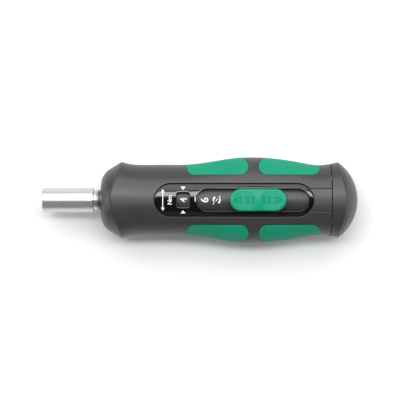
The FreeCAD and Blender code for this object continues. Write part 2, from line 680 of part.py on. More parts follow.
def bit_holder():
    """Bit holder and drive spindle, turned from one bar."""
    profile = [
        (TIP_X, 0),
        (TIP_X, HOLDER_RADIUS - HOLDER_EDGE),
        (TIP_X + HOLDER_EDGE, HOLDER_RADIUS),
        (HOLDER_REAR, HOLDER_RADIUS),
        (HOLDER_REAR + NECK_TAPER, NECK_RADIUS),
        (RING_END, NECK_RADIUS),
        (RING_END, TAIL_RADIUS),
        (TAIL_PIN_X - 0.5, TAIL_RADIUS),
        (TAIL_PIN_X, TAIL_RADIUS - 0.5),
        (TAIL_PIN_X, 0),
    ]
    spindle = turned(profile)
    corner = (HEX_ACROSS_FLATS + HEX_PLAY) / 2 / math.cos(math.pi / 6)
    mouth_end = TIP_X + HEX_MOUTH + 0.4
    bottom = TIP_X + HEX_DEPTH
    snap_x = TIP_X + SNAP_FROM_TIP
    cuts = [
        hexagon(HEX_ACROSS_FLATS + HEX_PLAY, TIP_X - 1, bottom),
        turned([(TIP_X - 0.1, 0), (TIP_X - 0.1, corner + 0.4), (mouth_end, corner - 0.5), (mouth_end, 0)]),
        tube(bottom - 1, bottom + MAGNET_LENGTH, MAGNET_RADIUS + SEAT_GAP),
        tube(snap_x - SEAT_GAP, snap_x + SNAP_THICK + SEAT_GAP, SNAP_OUTER + SEAT_GAP),
        Part.makeCylinder(PIN_RADIUS + SEAT_GAP, BIG, Vector(PIN_X, -BIG / 2, 0), Vector(0, 1, 0)),
    ]
    for x in clip_places():
        cuts.append(tube(x - SEAT_GAP, x + CLIP_THICK + SEAT_GAP, TAIL_RADIUS + 1, CLIP_GROOVE_RADIUS))
    return spindle.cut(cuts)


def snap_ring():
    """Open flat ring in the bit socket."""
    x = TIP_X + SNAP_FROM_TIP
    return tube(x, x + SNAP_THICK, SNAP_OUTER, SNAP_INNER).cut(block(TIP_X, 0, SNAP_OPENING, 0, BIG / 2))


def clip_places():
    return (PLUG_X - CLIP_THICK - 0.15, PLUG_X + PLUG_THICK + 0.15)


def spindle_clips():
    """Two retaining clips on the spindle, one at each side of the barrel plug."""
    clips = []
    for x in clip_places():
        clip = tube(x, x + CLIP_THICK, CLIP_RADIUS, CLIP_GROOVE_RADIUS + SEAT_GAP)
        clips.append(clip.cut(block(x - 1, x + CLIP_THICK + 1, 1.3, 0, BIG / 2)))
    return Part.makeCompound(clips)


def driven_ring():
    """Ring pinned to the spindle: dog teeth outside, roller pockets in its rear face."""
    ring = tube(RING_X, RING_END, RING_RADIUS, NECK_RADIUS + SEAT_GAP)
    tooth = tooth_space(RING_END - DOG_LENGTH, RING_END, RING_RADIUS - 0.4, DOG_RADIUS, TOOTH_PLAY)
    ring = ring.multiFuse(around(tooth, POCKET_COUNT))
    pocket = radial_bar(ROLLER_X, NECK_RADIUS, ROLLER_OUTER + 0.1, ROLLER_RADIUS + SEAT_GAP)
    pin_hole = Part.makeCylinder(PIN_RADIUS + SEAT_GAP, BIG, Vector(PIN_X, -BIG / 2, 0), Vector(0, 1, 0))
    return ring.cut(around(pocket, POCKET_COUNT) + [pin_hole])


def pressure_ring():
    """Sprung ring that presses the clutch rollers into the driven ring."""
    ring = tube(PRESSURE_X, PRESSURE_END, BARREL_INNER - RUNNING_GAP, TAIL_RADIUS + RUNNING_GAP)
    lug = Part.makeBox(PRESSURE_LENGTH, LUG_WIDTH, LUG_RADIUS - 5, Vector(PRESSURE_X, -LUG_WIDTH / 2, 5))
    ring = ring.multiFuse(around(lug, LUG_COUNT, 180.0))
    pocket = radial_bar(ROLLER_X, ROLLER_INNER - SEAT_GAP, BARREL_INNER + 1, ROLLER_RADIUS + SEAT_GAP)
    lugs_kept = tube(PRESSURE_X, PRESSURE_END, BARREL_OUTER, BARREL_INNER + SEAT_GAP)
    return ring.cut(around(pocket.cut(lugs_kept), ROLLER_COUNT))


def spring_seat(x, inner):
    """Seat of one spring, with the V groove of its latch pins."""
    rim = BARREL_INNER - RUNNING_GAP
    seat = tube(x - SEAT_THICK / 2, x + SEAT_THICK / 2, rim, inner)
    wide = LATCH_PIN_RADIUS + SEAT_GAP
    narrow = LATCH_TIP_RADIUS + SEAT_GAP
    cone_end = LATCH_TIP + LATCH_TIP_LENGTH
    bottom = LATCH_TIP - SEAT_GAP
    groove = turned(
        [(x - narrow, bottom), (x - wide, cone_end), (x - wide, rim + 1), (x + wide, rim + 1), (x + wide, cone_end), (x + narrow, bottom)]
    )
    return seat.cut(groove)


def latch_pins(x, turn):
    """Pins in the barrel's wall that hold a spring seat, their tips coned to let it push them out."""
    tip = Part.makeCone(LATCH_TIP_RADIUS, LATCH_PIN_RADIUS, LATCH_TIP_LENGTH, Vector(x, 0, LATCH_TIP))
    pin = tip.fuse(radial_bar(x, LATCH_TIP + LATCH_TIP_LENGTH, BARREL_OUTER, LATCH_PIN_RADIUS))
    return Part.makeCompound(around(pin, LATCH_COUNT, turn))


def clutch_barrel():
    """Steel tube that carries the springs and turns with the handle."""
    barrel = tube(BARREL_X, BARREL_END, BARREL_OUTER)
    flange = tube(BARREL_FLANGE_X, BARREL_END, BARREL_FLANGE_RADIUS)
    key = block(BARREL_FLANGE_X, BARREL_END, BARREL_KEY_WIDTH / 2, -BARREL_KEY_RADIUS, 0)
    flange = flange.fuse(key).cut(block(0, BIG * 3, BIG / 2, BARREL_FLANGE_FLAT, BIG / 2))
    barrel = barrel.fuse(flange).cut(tube(0, BIG * 3, BARREL_INNER))
    slot_length = PRESSURE_END + CLUTCH_LIFT + BARREL_SLOT_SPARE - BARREL_X
    slot_width = LUG_WIDTH + 2 * RUNNING_GAP
    slot = Part.makeBox(slot_length + 1, slot_width, 5, Vector(BARREL_X - 1, -slot_width / 2, 5))
    hole = LATCH_PIN_RADIUS + SEAT_GAP
    cuts = around(slot, LUG_COUNT, 180.0)
    for x, turn in ((HIGH_SEAT_X, HIGH_LATCH_TURN), (LOW_SEAT_X, LOW_LATCH_TURN)):
        cuts += around(radial_bar(x, 5, BARREL_OUTER + 1, hole), LATCH_COUNT, turn)
    return barrel.cut(cuts)


def front_bush():
    """Flanged bearing bush of the spindle, pressed in from inside the handle."""
    bush = tube(BUSH_FRONT, BUSH_END, BUSH_RADIUS)
    bush = bush.fuse(tube(BUSH_FLANGE_X, BUSH_END, BUSH_FLANGE_RADIUS))
    return bush.cut(tube(-1, BUSH_END + 1, NECK_RADIUS + RUNNING_GAP))


def thrust_washer(x, thick):
    return tube(x, x + thick, WASHER_RADIUS, NECK_RADIUS + RUNNING_GAP)


# ---------------------------------------------------------------- all pieces
def build():
    """Every piece of the tool by its name, in the axis frame."""
    form = oval_body().common(dome_limit())
    core = oval_body(INLAY_DEPTH)
    pieces = {"handle_shell": handle_shell(form, core)}
    for span in INLAY_SPANS:
        pieces[f"grip_{span}_left"] = grip(form, core, span, True)
        pieces[f"grip_{span}_right"] = grip(form, core, span, False)
    pieces["scale_bezel"] = scale_bezel()
    pieces["channel_cover"] = channel_cover(form)
    pieces["tail_ring"] = tail_ring(form)
    pieces["end_cap"] = end_cap(form)
    pieces["tail_screws"] = Part.makeCompound(screw_bodies())
    pieces["slide_button"] = slide_button()
    pieces["button_screws"] = button_screws()
    pieces["value_strip"] = value_strip()
    pieces["selector_sleeve"] = selector_sleeve()
    pieces["detent_spring"] = detent_spring()
    pieces["bit_holder"] = bit_holder()
    magnet_x = TIP_X + HEX_DEPTH
    pieces["bit_magnet"] = tube(magnet_x, magnet_x + MAGNET_LENGTH, MAGNET_RADIUS)
    pieces["snap_ring"] = snap_ring()
    pieces["spindle_clips"] = spindle_clips()
    pieces["driven_ring"] = driven_ring()
    pieces["drive_pin"] = Part.makeCylinder(PIN_RADIUS, PIN_LENGTH, Vector(PIN_X, -PIN_LENGTH / 2, 0), Vector(0, 1, 0))
    pieces["pressure_ring"] = pressure_ring()
    roller = radial_bar(ROLLER_X, ROLLER_INNER, ROLLER_OUTER, ROLLER_RADIUS)
    pieces["clutch_rollers"] = Part.makeCompound(around(roller, ROLLER_COUNT))
    pieces["high_spring"] = coil(PRESSURE_END, HIGH_SEAT_X - SEAT_THICK / 2, HIGH_SPRING_RADIUS, HIGH_WIRE, HIGH_TURNS)
    pieces["low_spring"] = coil(PRESSURE_END, LOW_SEAT_X - SEAT_THICK / 2, LOW_SPRING_RADIUS, LOW_WIRE, LOW_TURNS)
    pieces["high_spring_seat"] = spring_seat(HIGH_SEAT_X, HIGH_SEAT_INNER)
    pieces["low_spring_seat"] = spring_seat(LOW_SEAT_X, TAIL_RADIUS + RUNNING_GAP)
    pieces["high_latch_pins"] = latch_pins(HIGH_SEAT_X, HIGH_LATCH_TURN)
    pieces["low_latch_pins"] = latch_pins(LOW_SEAT_X, LOW_LATCH_TURN)
    pieces["clutch_barrel"] = clutch_barrel()
    pieces["barrel_plug"] = tube(PLUG_X, PLUG_X + PLUG_THICK, BARREL_INNER - SEAT_GAP, TAIL_RADIUS + RUNNING_GAP)
    pieces["front_bush"] = front_bush()
    pieces["front_thrust_washer"] = thrust_washer(BUSH_END, WASHER_THICK)
    pieces["glide_washer"] = thrust_washer(GLIDE_X, GLIDE_THICK)
    pieces["rear_thrust_washer"] = thrust_washer(REAR_WASHER_X, WASHER_THICK)
    return pieces


def main():
    os.makedirs("parts", exist_ok=True)
    for name, shape in build().items():
        placed = shape.copy()
        placed.translate(PLACE)
        placed.exportStep(f"parts/{name}.step")
        print(f"{name:22s} solids {len(placed.Solids)}  volume {placed.Volume:9.1f}  valid {placed.isValid()}")


main()
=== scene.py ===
"""Looks of a slide-set torque screwdriver with an oval two-component handle."""

import json
import logging
import math
from collections.abc import Callable, Sequence
from dataclasses import dataclass, field
from enum import Enum

import bmesh
import bpy
import numpy as np
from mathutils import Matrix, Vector
from mathutils.geometry import delaunay_2d_cdt


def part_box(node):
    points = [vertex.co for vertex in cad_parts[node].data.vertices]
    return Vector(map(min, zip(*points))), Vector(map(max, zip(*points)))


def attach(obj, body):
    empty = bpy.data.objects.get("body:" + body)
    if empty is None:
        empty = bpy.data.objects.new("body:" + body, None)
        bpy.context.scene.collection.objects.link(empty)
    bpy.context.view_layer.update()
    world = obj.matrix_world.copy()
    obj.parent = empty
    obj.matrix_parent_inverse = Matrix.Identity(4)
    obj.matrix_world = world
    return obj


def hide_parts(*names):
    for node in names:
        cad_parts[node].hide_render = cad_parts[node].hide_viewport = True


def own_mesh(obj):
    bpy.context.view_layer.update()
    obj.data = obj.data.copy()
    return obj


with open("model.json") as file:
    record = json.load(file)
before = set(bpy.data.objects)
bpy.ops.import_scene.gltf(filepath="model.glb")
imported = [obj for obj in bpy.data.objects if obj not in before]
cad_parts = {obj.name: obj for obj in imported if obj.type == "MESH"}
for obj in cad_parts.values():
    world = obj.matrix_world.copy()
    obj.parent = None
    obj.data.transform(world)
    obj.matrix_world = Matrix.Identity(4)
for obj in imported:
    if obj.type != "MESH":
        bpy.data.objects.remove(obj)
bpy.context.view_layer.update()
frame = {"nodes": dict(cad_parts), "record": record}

LOG = logging.getLogger("torque_screwdriver")
MM = 0.001
SHELL_LOW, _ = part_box("handle_shell")
HALF_THICK = 13.2  # half of the thickness of the handle, in millimetres
PLACE = np.array([SHELL_LOW.x, 0.0, SHELL_LOW.z + HALF_THICK * MM])
ARC_SCALE = 14.5  # millimetres of sheet for each radian around the drive axis
SIDE = math.pi / 2 * ARC_SCALE  # sheet distance from the slide side to the middle of a flank
SHARP_ANGLE = math.radians(40)
Outline = Callable[[float], np.ndarray]
Shape = tuple[np.ndarray, list[list[int]]]


class Body(Enum):
    """The moving groups of the tool."""

    HANDLE = "handle"
    SPINDLE = "spindle"
    CLUTCH = "clutch"
    SLIDER = "slider"


# ------------------------------------------------------------------ paths in plan


def line(start: Sequence[float], end: Sequence[float], step: float = 0.5) -> np.ndarray:
    """Points along a straight run, without its last point."""
    a, b = np.array(start, float), np.array(end, float)
    count = max(1, math.ceil(np.linalg.norm(b - a) / step))
    return a + (b - a) * (np.arange(count) / count)[:, None]


def arc(centre: Sequence[float], radius: float, start: float, end: float, count: int = 14) -> np.ndarray:
    """Points along an arc, in degrees, without its last point."""
    angles = np.radians(start + (end - start) * np.arange(count) / count)
    return np.array(centre, float) + radius * np.column_stack([np.cos(angles), np.sin(angles)])


def stadium(x_start: float, x_end: float, width: float) -> Outline:
    """Outline with two full round ends.

    Args:
        x_start: Front tip of the outline.
        x_end: Rear tip of the outline.
        width: Distance between the straight sides.

    Returns:
        A function that gives the outline grown by a distance.
    """

    def grown(grow: float) -> np.ndarray:
        """The outline at one growth.

        Args:
            grow: How far every side moves outward.

        Returns:
            Points of the outline.
        """
        r = width / 2
        front, rear = (x_start + r, 0.0), (x_end - r, 0.0)
        high, low = r + grow, -r - grow
        return np.vstack(
            [
                line((front[0], low), (rear[0], low)),
                arc(rear, r + grow, -90, 90, 30),
                line((rear[0], high), (front[0], high)),
                arc(front, r + grow, 90, 270, 30),
            ]
        )

    return grown


def rounded_box(x_start: float, x_end: float, half: float, corner: float) -> Outline:
    """Outline of a rectangle with rounded corners.

    Args:
        x_start: Front side.
        x_end: Rear side.
        half: Half of the width.
        corner: Radius of the corners.

    Returns:
        A function that gives the outline grown by a distance.
    """

    def grown(grow: float) -> np.ndarray:
        """The outline at one growth.

        Args:
            grow: How far every side moves outward.

        Returns:
            Points of the outline.
        """
        r = corner + grow
        left, right, inner = x_start + corner, x_end - corner, half - corner
        low, high = -half - grow, half + grow
        return np.vstack(
            [
                line((left, low), (right, low)),
                arc((right, -inner), r, -90, 0, 8),
                line((x_end + grow, -inner), (x_end + grow, inner)),
                arc((right, inner), r, 0, 90, 8),
                line((right, high), (left, high)),
                arc((left, inner), r, 90, 180, 8),
                line((x_start - grow, inner), (x_start - grow, -inner)),
                arc((left, -inner), r, 180, 270, 8),
            ]
        )

    return grown


def convex(corners: Sequence[Sequence[float]]) -> Outline:
    """Outline of a convex polygon.

    Args:
        corners: Its corners, anticlockwise.

    Returns:
        A function that gives the outline grown by a distance.
    """

    def grown(grow: float) -> np.ndarray:
        """The outline at one growth.

        Args:
            grow: How far every side moves outward.

        Returns:
            Points of the outline.
        """
        points = np.array(corners, float)
        ahead = np.roll(points, -1, axis=0) - points
        ahead /= np.linalg.norm(ahead, axis=1)[:, None]
        normal = np.column_stack([ahead[:, 1], -ahead[:, 0]])
        before = np.roll(normal, 1, axis=0)
        share = 1 + np.sum(normal * before, axis=1)
        moved = points + grow * (normal + before) / share[:, None]
        return np.vstack([line(a, b, 0.3) for a, b in zip(moved, np.roll(moved, -1, axis=0))])

    return grown


def inside(loop: np.ndarray, points: np.ndarray) -> np.ndarray:
    """Finds the points that lie in a closed loop.

    Args:
        loop: Points of the loop.
        points: Points to test.

    Returns:
        Mask of the points inside.
    """
    hit = np.zeros(len(points), bool)
    for (ax, ay), (bx, by) in zip(loop, np.roll(loop, -1, axis=0)):
        if ay == by:
            continue
        spans = (ay > points[:, 1]) != (by > points[:, 1])
        hit ^= spans & (points[:, 0] < ax + (bx - ax) * (points[:, 1] - ay) / (by - ay))
    return hit


def rounding(radius: float) -> list[tuple[float, float]]:
    """Rows of a rounded edge.

    Args:
        radius: Radius of the edge.

    Returns:
        Distances into the piece from its edge, with the drop of the surface at each.
    """
    return [
        (share * radius, radius * (1 - math.sqrt(1 - (1 - share) ** 2)))
        for share in (0.0, 0.13, 0.35, 0.65, 1.0)
    ]


# ------------------------------------------------------------------ form of the handle


@dataclass(frozen=True)
class HandleForm:
    """Oval form of the handle with its turned nose and its rear dome."""

    power: float = 2.25
    flange: tuple[float, float] = (8.3, 15.7)
    waist: float = 14.5
    belly: float = 17.59
    rear_waist: float = 14.35
    rear_flange: float = 15.6
    split: float = 94.0
    length: float = 105.2
    dome_radius: float = 19.0
    grip_start: float = 34.0
    grip_length: float = 55.0
    nose_end: tuple[float, float] = (3.3, 12.55)
    nose_middle: tuple[float, float] = (1.15, 10.35)
    face_radius: float = 6.4
    bore: float = 5.66
    blend: float = 0.3
    nose_tilt: float = 58.0
    wall_tilt: tuple[tuple[float, float], ...] = ((7.0, 62.0), (13.0, 90.0))
    flank: tuple[float, float] = (52.0, 76.0)
    last_share: float = 0.9995
    before_flange: tuple[tuple[float, float], ...] = ((-4.0, 1.2), (3.0, 0.9))
    behind_flange: tuple[tuple[float, float], ...] = ((11.5, 0.38), (15.0, 0.02), (24.5, 0.0), (34.0, 0.04))
    swell: tuple[tuple[float, float], ...] = (
        (0.155, 0.27), (0.34, 0.80), (0.515, 1.0), (0.70, 0.775), (0.88, 0.29),
    )
    before_split: tuple[tuple[float, float], ...] = ((-5.0, 0.0), (-0.2, 0.5))
    behind_split: tuple[tuple[float, float], ...] = ((3.1, 0.0), (12.2, 1.4))

    def stations(self) -> tuple[np.ndarray, np.ndarray]:
        """Rows of the form that its width is drawn through.

        Returns:
            Distances from the front face, with the half width at each.
        """
        rows = [(x, self.flange[1] + rise) for x, rise in self.before_flange] + [self.flange]
        rows += [(x, self.waist + rise) for x, rise in self.behind_flange]
        for share, rise in self.swell:
            low = self.waist if share < 0.5 else self.rear_waist
            rows.append((self.grip_start + share * self.grip_length, low + rise * (self.belly - low)))
        rows += [(self.split + x, self.rear_waist + rise) for x, rise in self.before_split]
        rows += [(self.split + x, self.rear_flange + rise) for x, rise in self.behind_split]
        table = np.array(rows)
        return table[:, 0], table[:, 1]

    def half_width(self, x: np.ndarray) -> np.ndarray:
        """Half width of the oval, by a natural cubic through the stations.

        Args:
            x: Distances from the front face.

        Returns:
            The half width at each.
        """
        at, value = self.stations()
        gap = np.diff(at)
        count = len(at)
        system, right = np.eye(count), np.zeros(count)
        for i in range(1, count - 1):
            system[i, i - 1 : i + 2] = gap[i - 1], 2 * (gap[i - 1] + gap[i]), gap[i]
            right[i] = 6 * ((value[i + 1] - value[i]) / gap[i] - (value[i] - value[i - 1]) / gap[i - 1])
        bend = np.linalg.solve(system, right)
        x = np.asarray(x, float)
        i = np.clip(np.searchsorted(at, x) - 1, 0, count - 2)
        a, b, h = at[i + 1] - x, x - at[i], gap[i]
        curve = bend[i] * a**3 / (6 * h) + bend[i + 1] * b**3 / (6 * h)
        curve += (value[i] / h - bend[i] * h / 6) * a + (value[i + 1] / h - bend[i + 1] * h / 6) * b
        return np.minimum(curve, self.belly)

    def oval(self, x: np.ndarray, turn: np.ndarray, inset: float = 0.0) -> np.ndarray:
        """Radius of the superellipse.

        Args:
            x: Distances from the front face.
            turn: Angles from the slide side.
            inset: How far the oval is drawn in.

        Returns:
            The radius at each.
        """
        wide, thick = self.half_width(x) - inset, HALF_THICK - inset
        n = self.power
        return (np.abs(np.sin(turn) / wide) ** n + np.abs(np.cos(turn) / thick) ** n) ** (-1 / n)

    def nose_circle(self) -> tuple[float, float, float, float, float]:
        """Arc of the nose, through its two ends and its middle.

        Returns:
            The centre's x and distance from the axis, the radius, and the first and last angle.
        """
        rows = [(0.0, self.face_radius), self.nose_middle, self.nose_end]
        system = np.array([[2 * x, 2 * y, 1.0] for x, y in rows])
        cx, cy, rest = np.linalg.solve(system, np.array([x * x + y * y for x, y in rows]))
        radius = math.sqrt(rest + cx * cx + cy * cy)
        ends = [math.atan2(y - cy, x - cx) % math.tau for x, y in (rows[0], rows[2])]
        return cx, cy, radius, ends[0], ends[1]

    def nose_start(self) -> float:
        """Sheet distance at which the arc of the nose starts."""
        _, _, radius, first, last = self.nose_circle()
        return self.nose_end[0] - radius * abs(first - last)

    def rail(self, u: np.ndarray) -> tuple[np.ndarray, np.ndarray, np.ndarray]:
        """Turned limit of the form along the sheet.

        Args:
            u: Distance along the sheet, which is x behind the nose.

        Returns:
            The x, the limiting radius, and the angle in which the wall goes inward.
        """
        cx, cy, radius, first, last = self.nose_circle()
        start, (end_x, end_r) = self.nose_start(), self.nose_end
        share = np.clip((u - start) / (end_x - start), 0, 1)
        angle = first + (last - first) * share
        on_arc = u < end_x
        x = np.where(on_arc, np.maximum(cx + radius * np.cos(angle), 0.0), u)
        slope = (self.flange[1] - end_r) / (self.flange[0] - end_x)
        cone = end_r + (u - end_x) * slope
        behind = self.length - self.dome_radius
        dome = np.sqrt(np.maximum(self.dome_radius**2 - np.maximum(x - behind, 0) ** 2, 0))
        limit = np.where(on_arc, cy + radius * np.sin(angle), np.minimum(cone, dome))
        flat = u < start
        limit = np.where(flat, self.face_radius + (u - start), limit)
        x = np.where(flat, 0.0, x)
        stops = [(start, 0.0), (end_x, self.nose_tilt), *self.wall_tilt]
        tilt = np.interp(u, *zip(*stops))
        return x, limit, np.radians(tilt)

    def at(self, sheet: np.ndarray, depth: np.ndarray | float = 0.0, inset: float = 0.0) -> np.ndarray:
        """Places sheet points on the form.

        Args:
            sheet: Points as distance along the form and distance around it.
            depth: How far each point lies under the surface.
            inset: How far the whole surface is drawn in.

        Returns:
            Points in the tool's axis frame.
        """
        x, limit, tilt = self.rail(sheet[:, 0])
        turn = sheet[:, 1] / ARC_SCALE
        r = soft_min(self.oval(x, turn, inset), limit, self.blend)
        fold = np.degrees(np.minimum(np.abs(turn), math.pi - np.abs(turn)))
        top_end, side_start = self.flank
        side = np.clip((fold - top_end) / (side_start - top_end), 0, 1)
        side = side * side * (3 - 2 * side)
        in_y = side * np.sin(turn)
        in_z = (1 - side) * np.sign(np.cos(turn)) + side * np.cos(turn)
        points = np.column_stack([x, r * np.sin(turn), r * np.cos(turn)])
        inward = np.column_stack([np.cos(tilt), -np.sin(tilt) * in_y, -np.sin(tilt) * in_z])
        return points + inward * np.broadcast_to(depth, len(points))[:, None]

    def from_plan(self, plan: np.ndarray) -> np.ndarray:
        """Lays plan points on the slide side.

        Args:
            plan: Points as x and y.

        Returns:
            Their sheet points.
        """
        x, y = plan[:, 0], plan[:, 1]
        share = np.clip(np.abs(y) / self.half_width(x), 0, self.last_share)
        z = HALF_THICK * (1 - share**self.power) ** (1 / self.power)
        return np.column_stack([x, np.arctan2(y, z) * ARC_SCALE])

    def height(self, x: np.ndarray, y: np.ndarray, inset: float = 0.0) -> np.ndarray:
        """Height of the slide side over the drive axis.

        Args:
            x: Distances from the front face.
            y: Distances across the tool.
            inset: How far the surface is drawn in.

        Returns:
            The height at each point.
        """
        share = np.clip(np.abs(y) / (self.half_width(x) - inset), 0, self.last_share)
        return (HALF_THICK - inset) * (1 - share**self.power) ** (1 / self.power)


def soft_min(a: np.ndarray, b: np.ndarray, blend: float) -> np.ndarray:
    """The lower of two heights, with a rounded change between them."""
    share = np.clip(0.5 + 0.5 * (b - a) / blend, 0, 1)
    return b + (a - b) * share - blend * share * (1 - share)


FORM = HandleForm()
NO_LATTICE = np.empty((0, 2))


def on_form(plan: Outline) -> Outline:
    """The sheet outline over a plan outline on the slide side."""
    return lambda grow: FORM.from_plan(plan(grow))


# ------------------------------------------------------------------ meshes


@dataclass
class Sheet:
    """A field of points that is cut along outlines before it is given its height."""

    lattice: np.ndarray
    clear: float = 0.1
    loops: list[np.ndarray] = field(default_factory=list)
    drops: list[float] = field(default_factory=list)
    edges: list[tuple[int, int]] = field(default_factory=list)

    def add(self, loop: np.ndarray, drop: float, closed: bool = True) -> None:
        """Adds one outline.

        Args:
            loop: Points of the outline.
            drop: How far all of them lie under the surface.
            closed: False for an outline with open ends.
        """
        first = len(self.drops)
        count = len(loop)
        self.loops.append(loop)
        self.drops += [drop] * count
        last = count if closed else count - 1
        self.edges += [(first + i, first + (i + 1) % count) for i in range(last)]

    def add_rounded(self, outline: Outline, radius: float, way: int, closed: bool = True) -> None:
        """Adds the rows of a rounded edge.

        Args:
            outline: Gives the outline at a growth.
            radius: Radius of the edge.
            way: 1 where the piece lies outside the outline, -1 where it lies inside.
            closed: False for an outline with open ends.
        """
        for distance, drop in rounding(radius):
            self.add(outline(way * distance), drop, closed)

    def cut(
        self, edge: np.ndarray | None, holes: Sequence[np.ndarray] = ()
    ) -> tuple[np.ndarray, np.ndarray, np.ndarray]:
        """Cuts the field into triangles along its outlines.

        Args:
            edge: Outline of the piece, or None for the whole field.
            holes: Outlines of its openings.

        Returns:
            The sheet points, the drop of each, and the triangles.
        """
        loops = np.vstack(self.loops)
        gaps = [np.min(np.sum((loops - p) ** 2, axis=1)) for p in self.lattice]
        far = np.array(gaps) > self.clear**2
        points = np.vstack([loops, self.lattice[far]]) if len(self.lattice) else loops
        drops = np.concatenate([self.drops, np.zeros(len(points) - len(loops))])
        made = delaunay_2d_cdt([Vector(p) for p in points], self.edges, [], 0, 1e-6)
        flat = np.array([tuple(p) for p in made[0]])
        drop = np.array([max((drops[i] for i in origin), default=-1.0) for origin in made[3]])
        for i in np.flatnonzero(drop < 0):
            drop[i] = drops[np.argmin(np.sum((points - flat[i]) ** 2, axis=1))]
        triangles = np.array([f for f in made[2] if len(f) == 3])
        centres = flat[triangles].mean(axis=1)
        kept = np.ones(len(centres), bool) if edge is None else inside(edge, centres)
        for hole in holes:
            kept &= ~inside(hole, centres)
        return flat, drop, triangles[kept]

    @classmethod
    def over(
        cls, x_start: float, x_end: float, half: float, step: tuple[float, float], clear: float
    ) -> "Sheet":
        """Makes a field with an even lattice.

        Args:
            x_start: Front end of the lattice.
            x_end: Rear end of the lattice.
            half: Half of its width.
            step: Distance between its points along and across the tool.
            clear: Distance that its points keep from the outlines.

        Returns:
            The field, without outlines.
        """
        return cls(grid(np.arange(x_start, x_end, step[0]), np.arange(-half, half + 0.1, step[1])), clear)


def grid(u: np.ndarray, v: np.ndarray) -> np.ndarray:
    """Every pair of two lists of distances."""
    return np.array([(a, b) for a in u for b in v])


def weld_back(flat: np.ndarray, triangles: np.ndarray) -> np.ndarray:
    """Joins the two long edges of a sheet that goes all the way round.

    Args:
        flat: Sheet points.
        triangles: Triangles between them.

    Returns:
        Triangles in which each point of the far edge is that of the near edge.
    """
    edge = 2 * SIDE
    low = {round(u, 4): i for i, (u, v) in enumerate(flat) if abs(v + edge) < 1e-4}
    swap = np.arange(len(flat))
    for i, (u, v) in enumerate(flat):
        if abs(v - edge) < 1e-4:
            swap[i] = low[round(u, 4)]
    return swap[triangles]


def plate(top: np.ndarray, bottom: np.ndarray, triangles: np.ndarray) -> Shape:
    """Closes a top and a bottom skin with walls along every edge.

    Args:
        top: Points of the outer skin.
        bottom: The same points of the inner skin.
        triangles: Triangles of the outer skin.

    Returns:
        Points and faces of a closed solid.
    """
    used, compact = np.unique(triangles, return_inverse=True)
    tri = compact.reshape(-1, 3)
    count = len(used)
    sides = np.vstack([tri[:, [0, 1]], tri[:, [1, 2]], tri[:, [2, 0]]])
    known = {(int(a), int(b)) for a, b in sides}
    faces = tri.tolist() + (tri[:, ::-1] + count).tolist()
    faces += [[b, a, a + count, b + count] for a, b in sorted(known) if (b, a) not in known]
    return np.vstack([top[used], bottom[used]]), faces


def ringed(loops: Sequence[np.ndarray], closed: bool) -> Shape:
    """Skins a row of rings of equal count.

    Args:
        loops: Rings of points, each with as many points as the others.
        closed: True joins the last ring to the first, False closes both ends with a pole.

    Returns:
        Points and faces of a closed solid.
    """
    count = len(loops[0])
    points = np.vstack(loops)
    faces = []
    rows = len(loops) if closed else len(loops) - 1
    for row in range(rows):
        a, b = row * count, (row + 1) % len(loops) * count
        faces += [[a + i, a + (i + 1) % count, b + (i + 1) % count, b + i] for i in range(count)]
    if not closed:
        first, last = len(points), len(points) + 1
        points = np.vstack([points, loops[0].mean(axis=0), loops[-1].mean(axis=0)])
        end = (len(loops) - 1) * count
        faces += [[first, (i + 1) % count, i] for i in range(count)]
        faces += [[last, end + i, end + (i + 1) % count] for i in range(count)]
    return points, faces


def ring(x: np.ndarray | float, radius: np.ndarray | float, turn: np.ndarray) -> np.ndarray:
    """One ring of points around the drive axis."""
    x = np.broadcast_to(x, turn.shape)
    return np.column_stack([x, radius * np.sin(turn), radius * np.cos(turn)])


def turns(count: int) -> np.ndarray:
    """Evenly spaced angles around the drive axis."""
    return np.arange(count) * math.tau / count


def piece(
    name: str,
    shape: Shape,
    finish: "Finish",
    body: Body,
    stands_for: Sequence[str] = (),
) -> bpy.types.Object:
    """Makes one finished piece from a shape in the tool's axis frame.

    Args:
        name: Name of the piece.
        shape: Points in millimetres, and faces.
        finish: Finish of the piece.
        body: Body that the piece moves with.
        stands_for: CAD nodes that the piece is shown for.

    Returns:
        The new object.
    """
    points, faces = shape
    mesh = bpy.data.meshes.new(name)
    mesh.from_pydata((np.asarray(points) * MM + PLACE).tolist(), [], faces)
    work = bmesh.new()
    work.from_mesh(mesh)
    if work.calc_volume(signed=True) < 0:
        bmesh.ops.reverse_faces(work, faces=work.faces[:])
    work.to_mesh(mesh)
    work.free()
    mesh.validate()
    mesh.shade_smooth()
    mesh.set_sharp_from_angle(angle=SHARP_ANGLE)
    obj = bpy.data.objects.new(name, mesh)
    bpy.context.scene.collection.objects.link(obj)
    mesh.materials.append(finish.material())
    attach(obj, body.value)
    if stands_for:
        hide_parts(*stands_for)
    LOG.info("%s: %d faces on %s", name, len(mesh.polygons), body.value)
    return obj


# ------------------------------------------------------------------ finishes


NodeRows = dict[str, tuple[str, dict[str | int, object]]]
Links = list[tuple[str, str | int, str, str | int]]
FLOAT = "NodeSocketFloat"
MATERIAL = "NodeSocketMaterial"
GEOMETRY = "NodeSocketGeometry"
MOTTLE = 0.86  # how much darker the dark clouds of a moulding are


def linear(*levels: int) -> tuple[float, ...]:
    """Turns display values into shader values.

    Args:
        levels: Red, green and blue, from 0 to 255.

    Returns:
        The shader's red, green and blue, with an alpha of 1.
    """
    shares = [level / 255 for level in levels]
    return (*(s / 12.92 if s <= 0.04045 else ((s + 0.055) / 1.055) ** 2.4 for s in shares), 1.0)


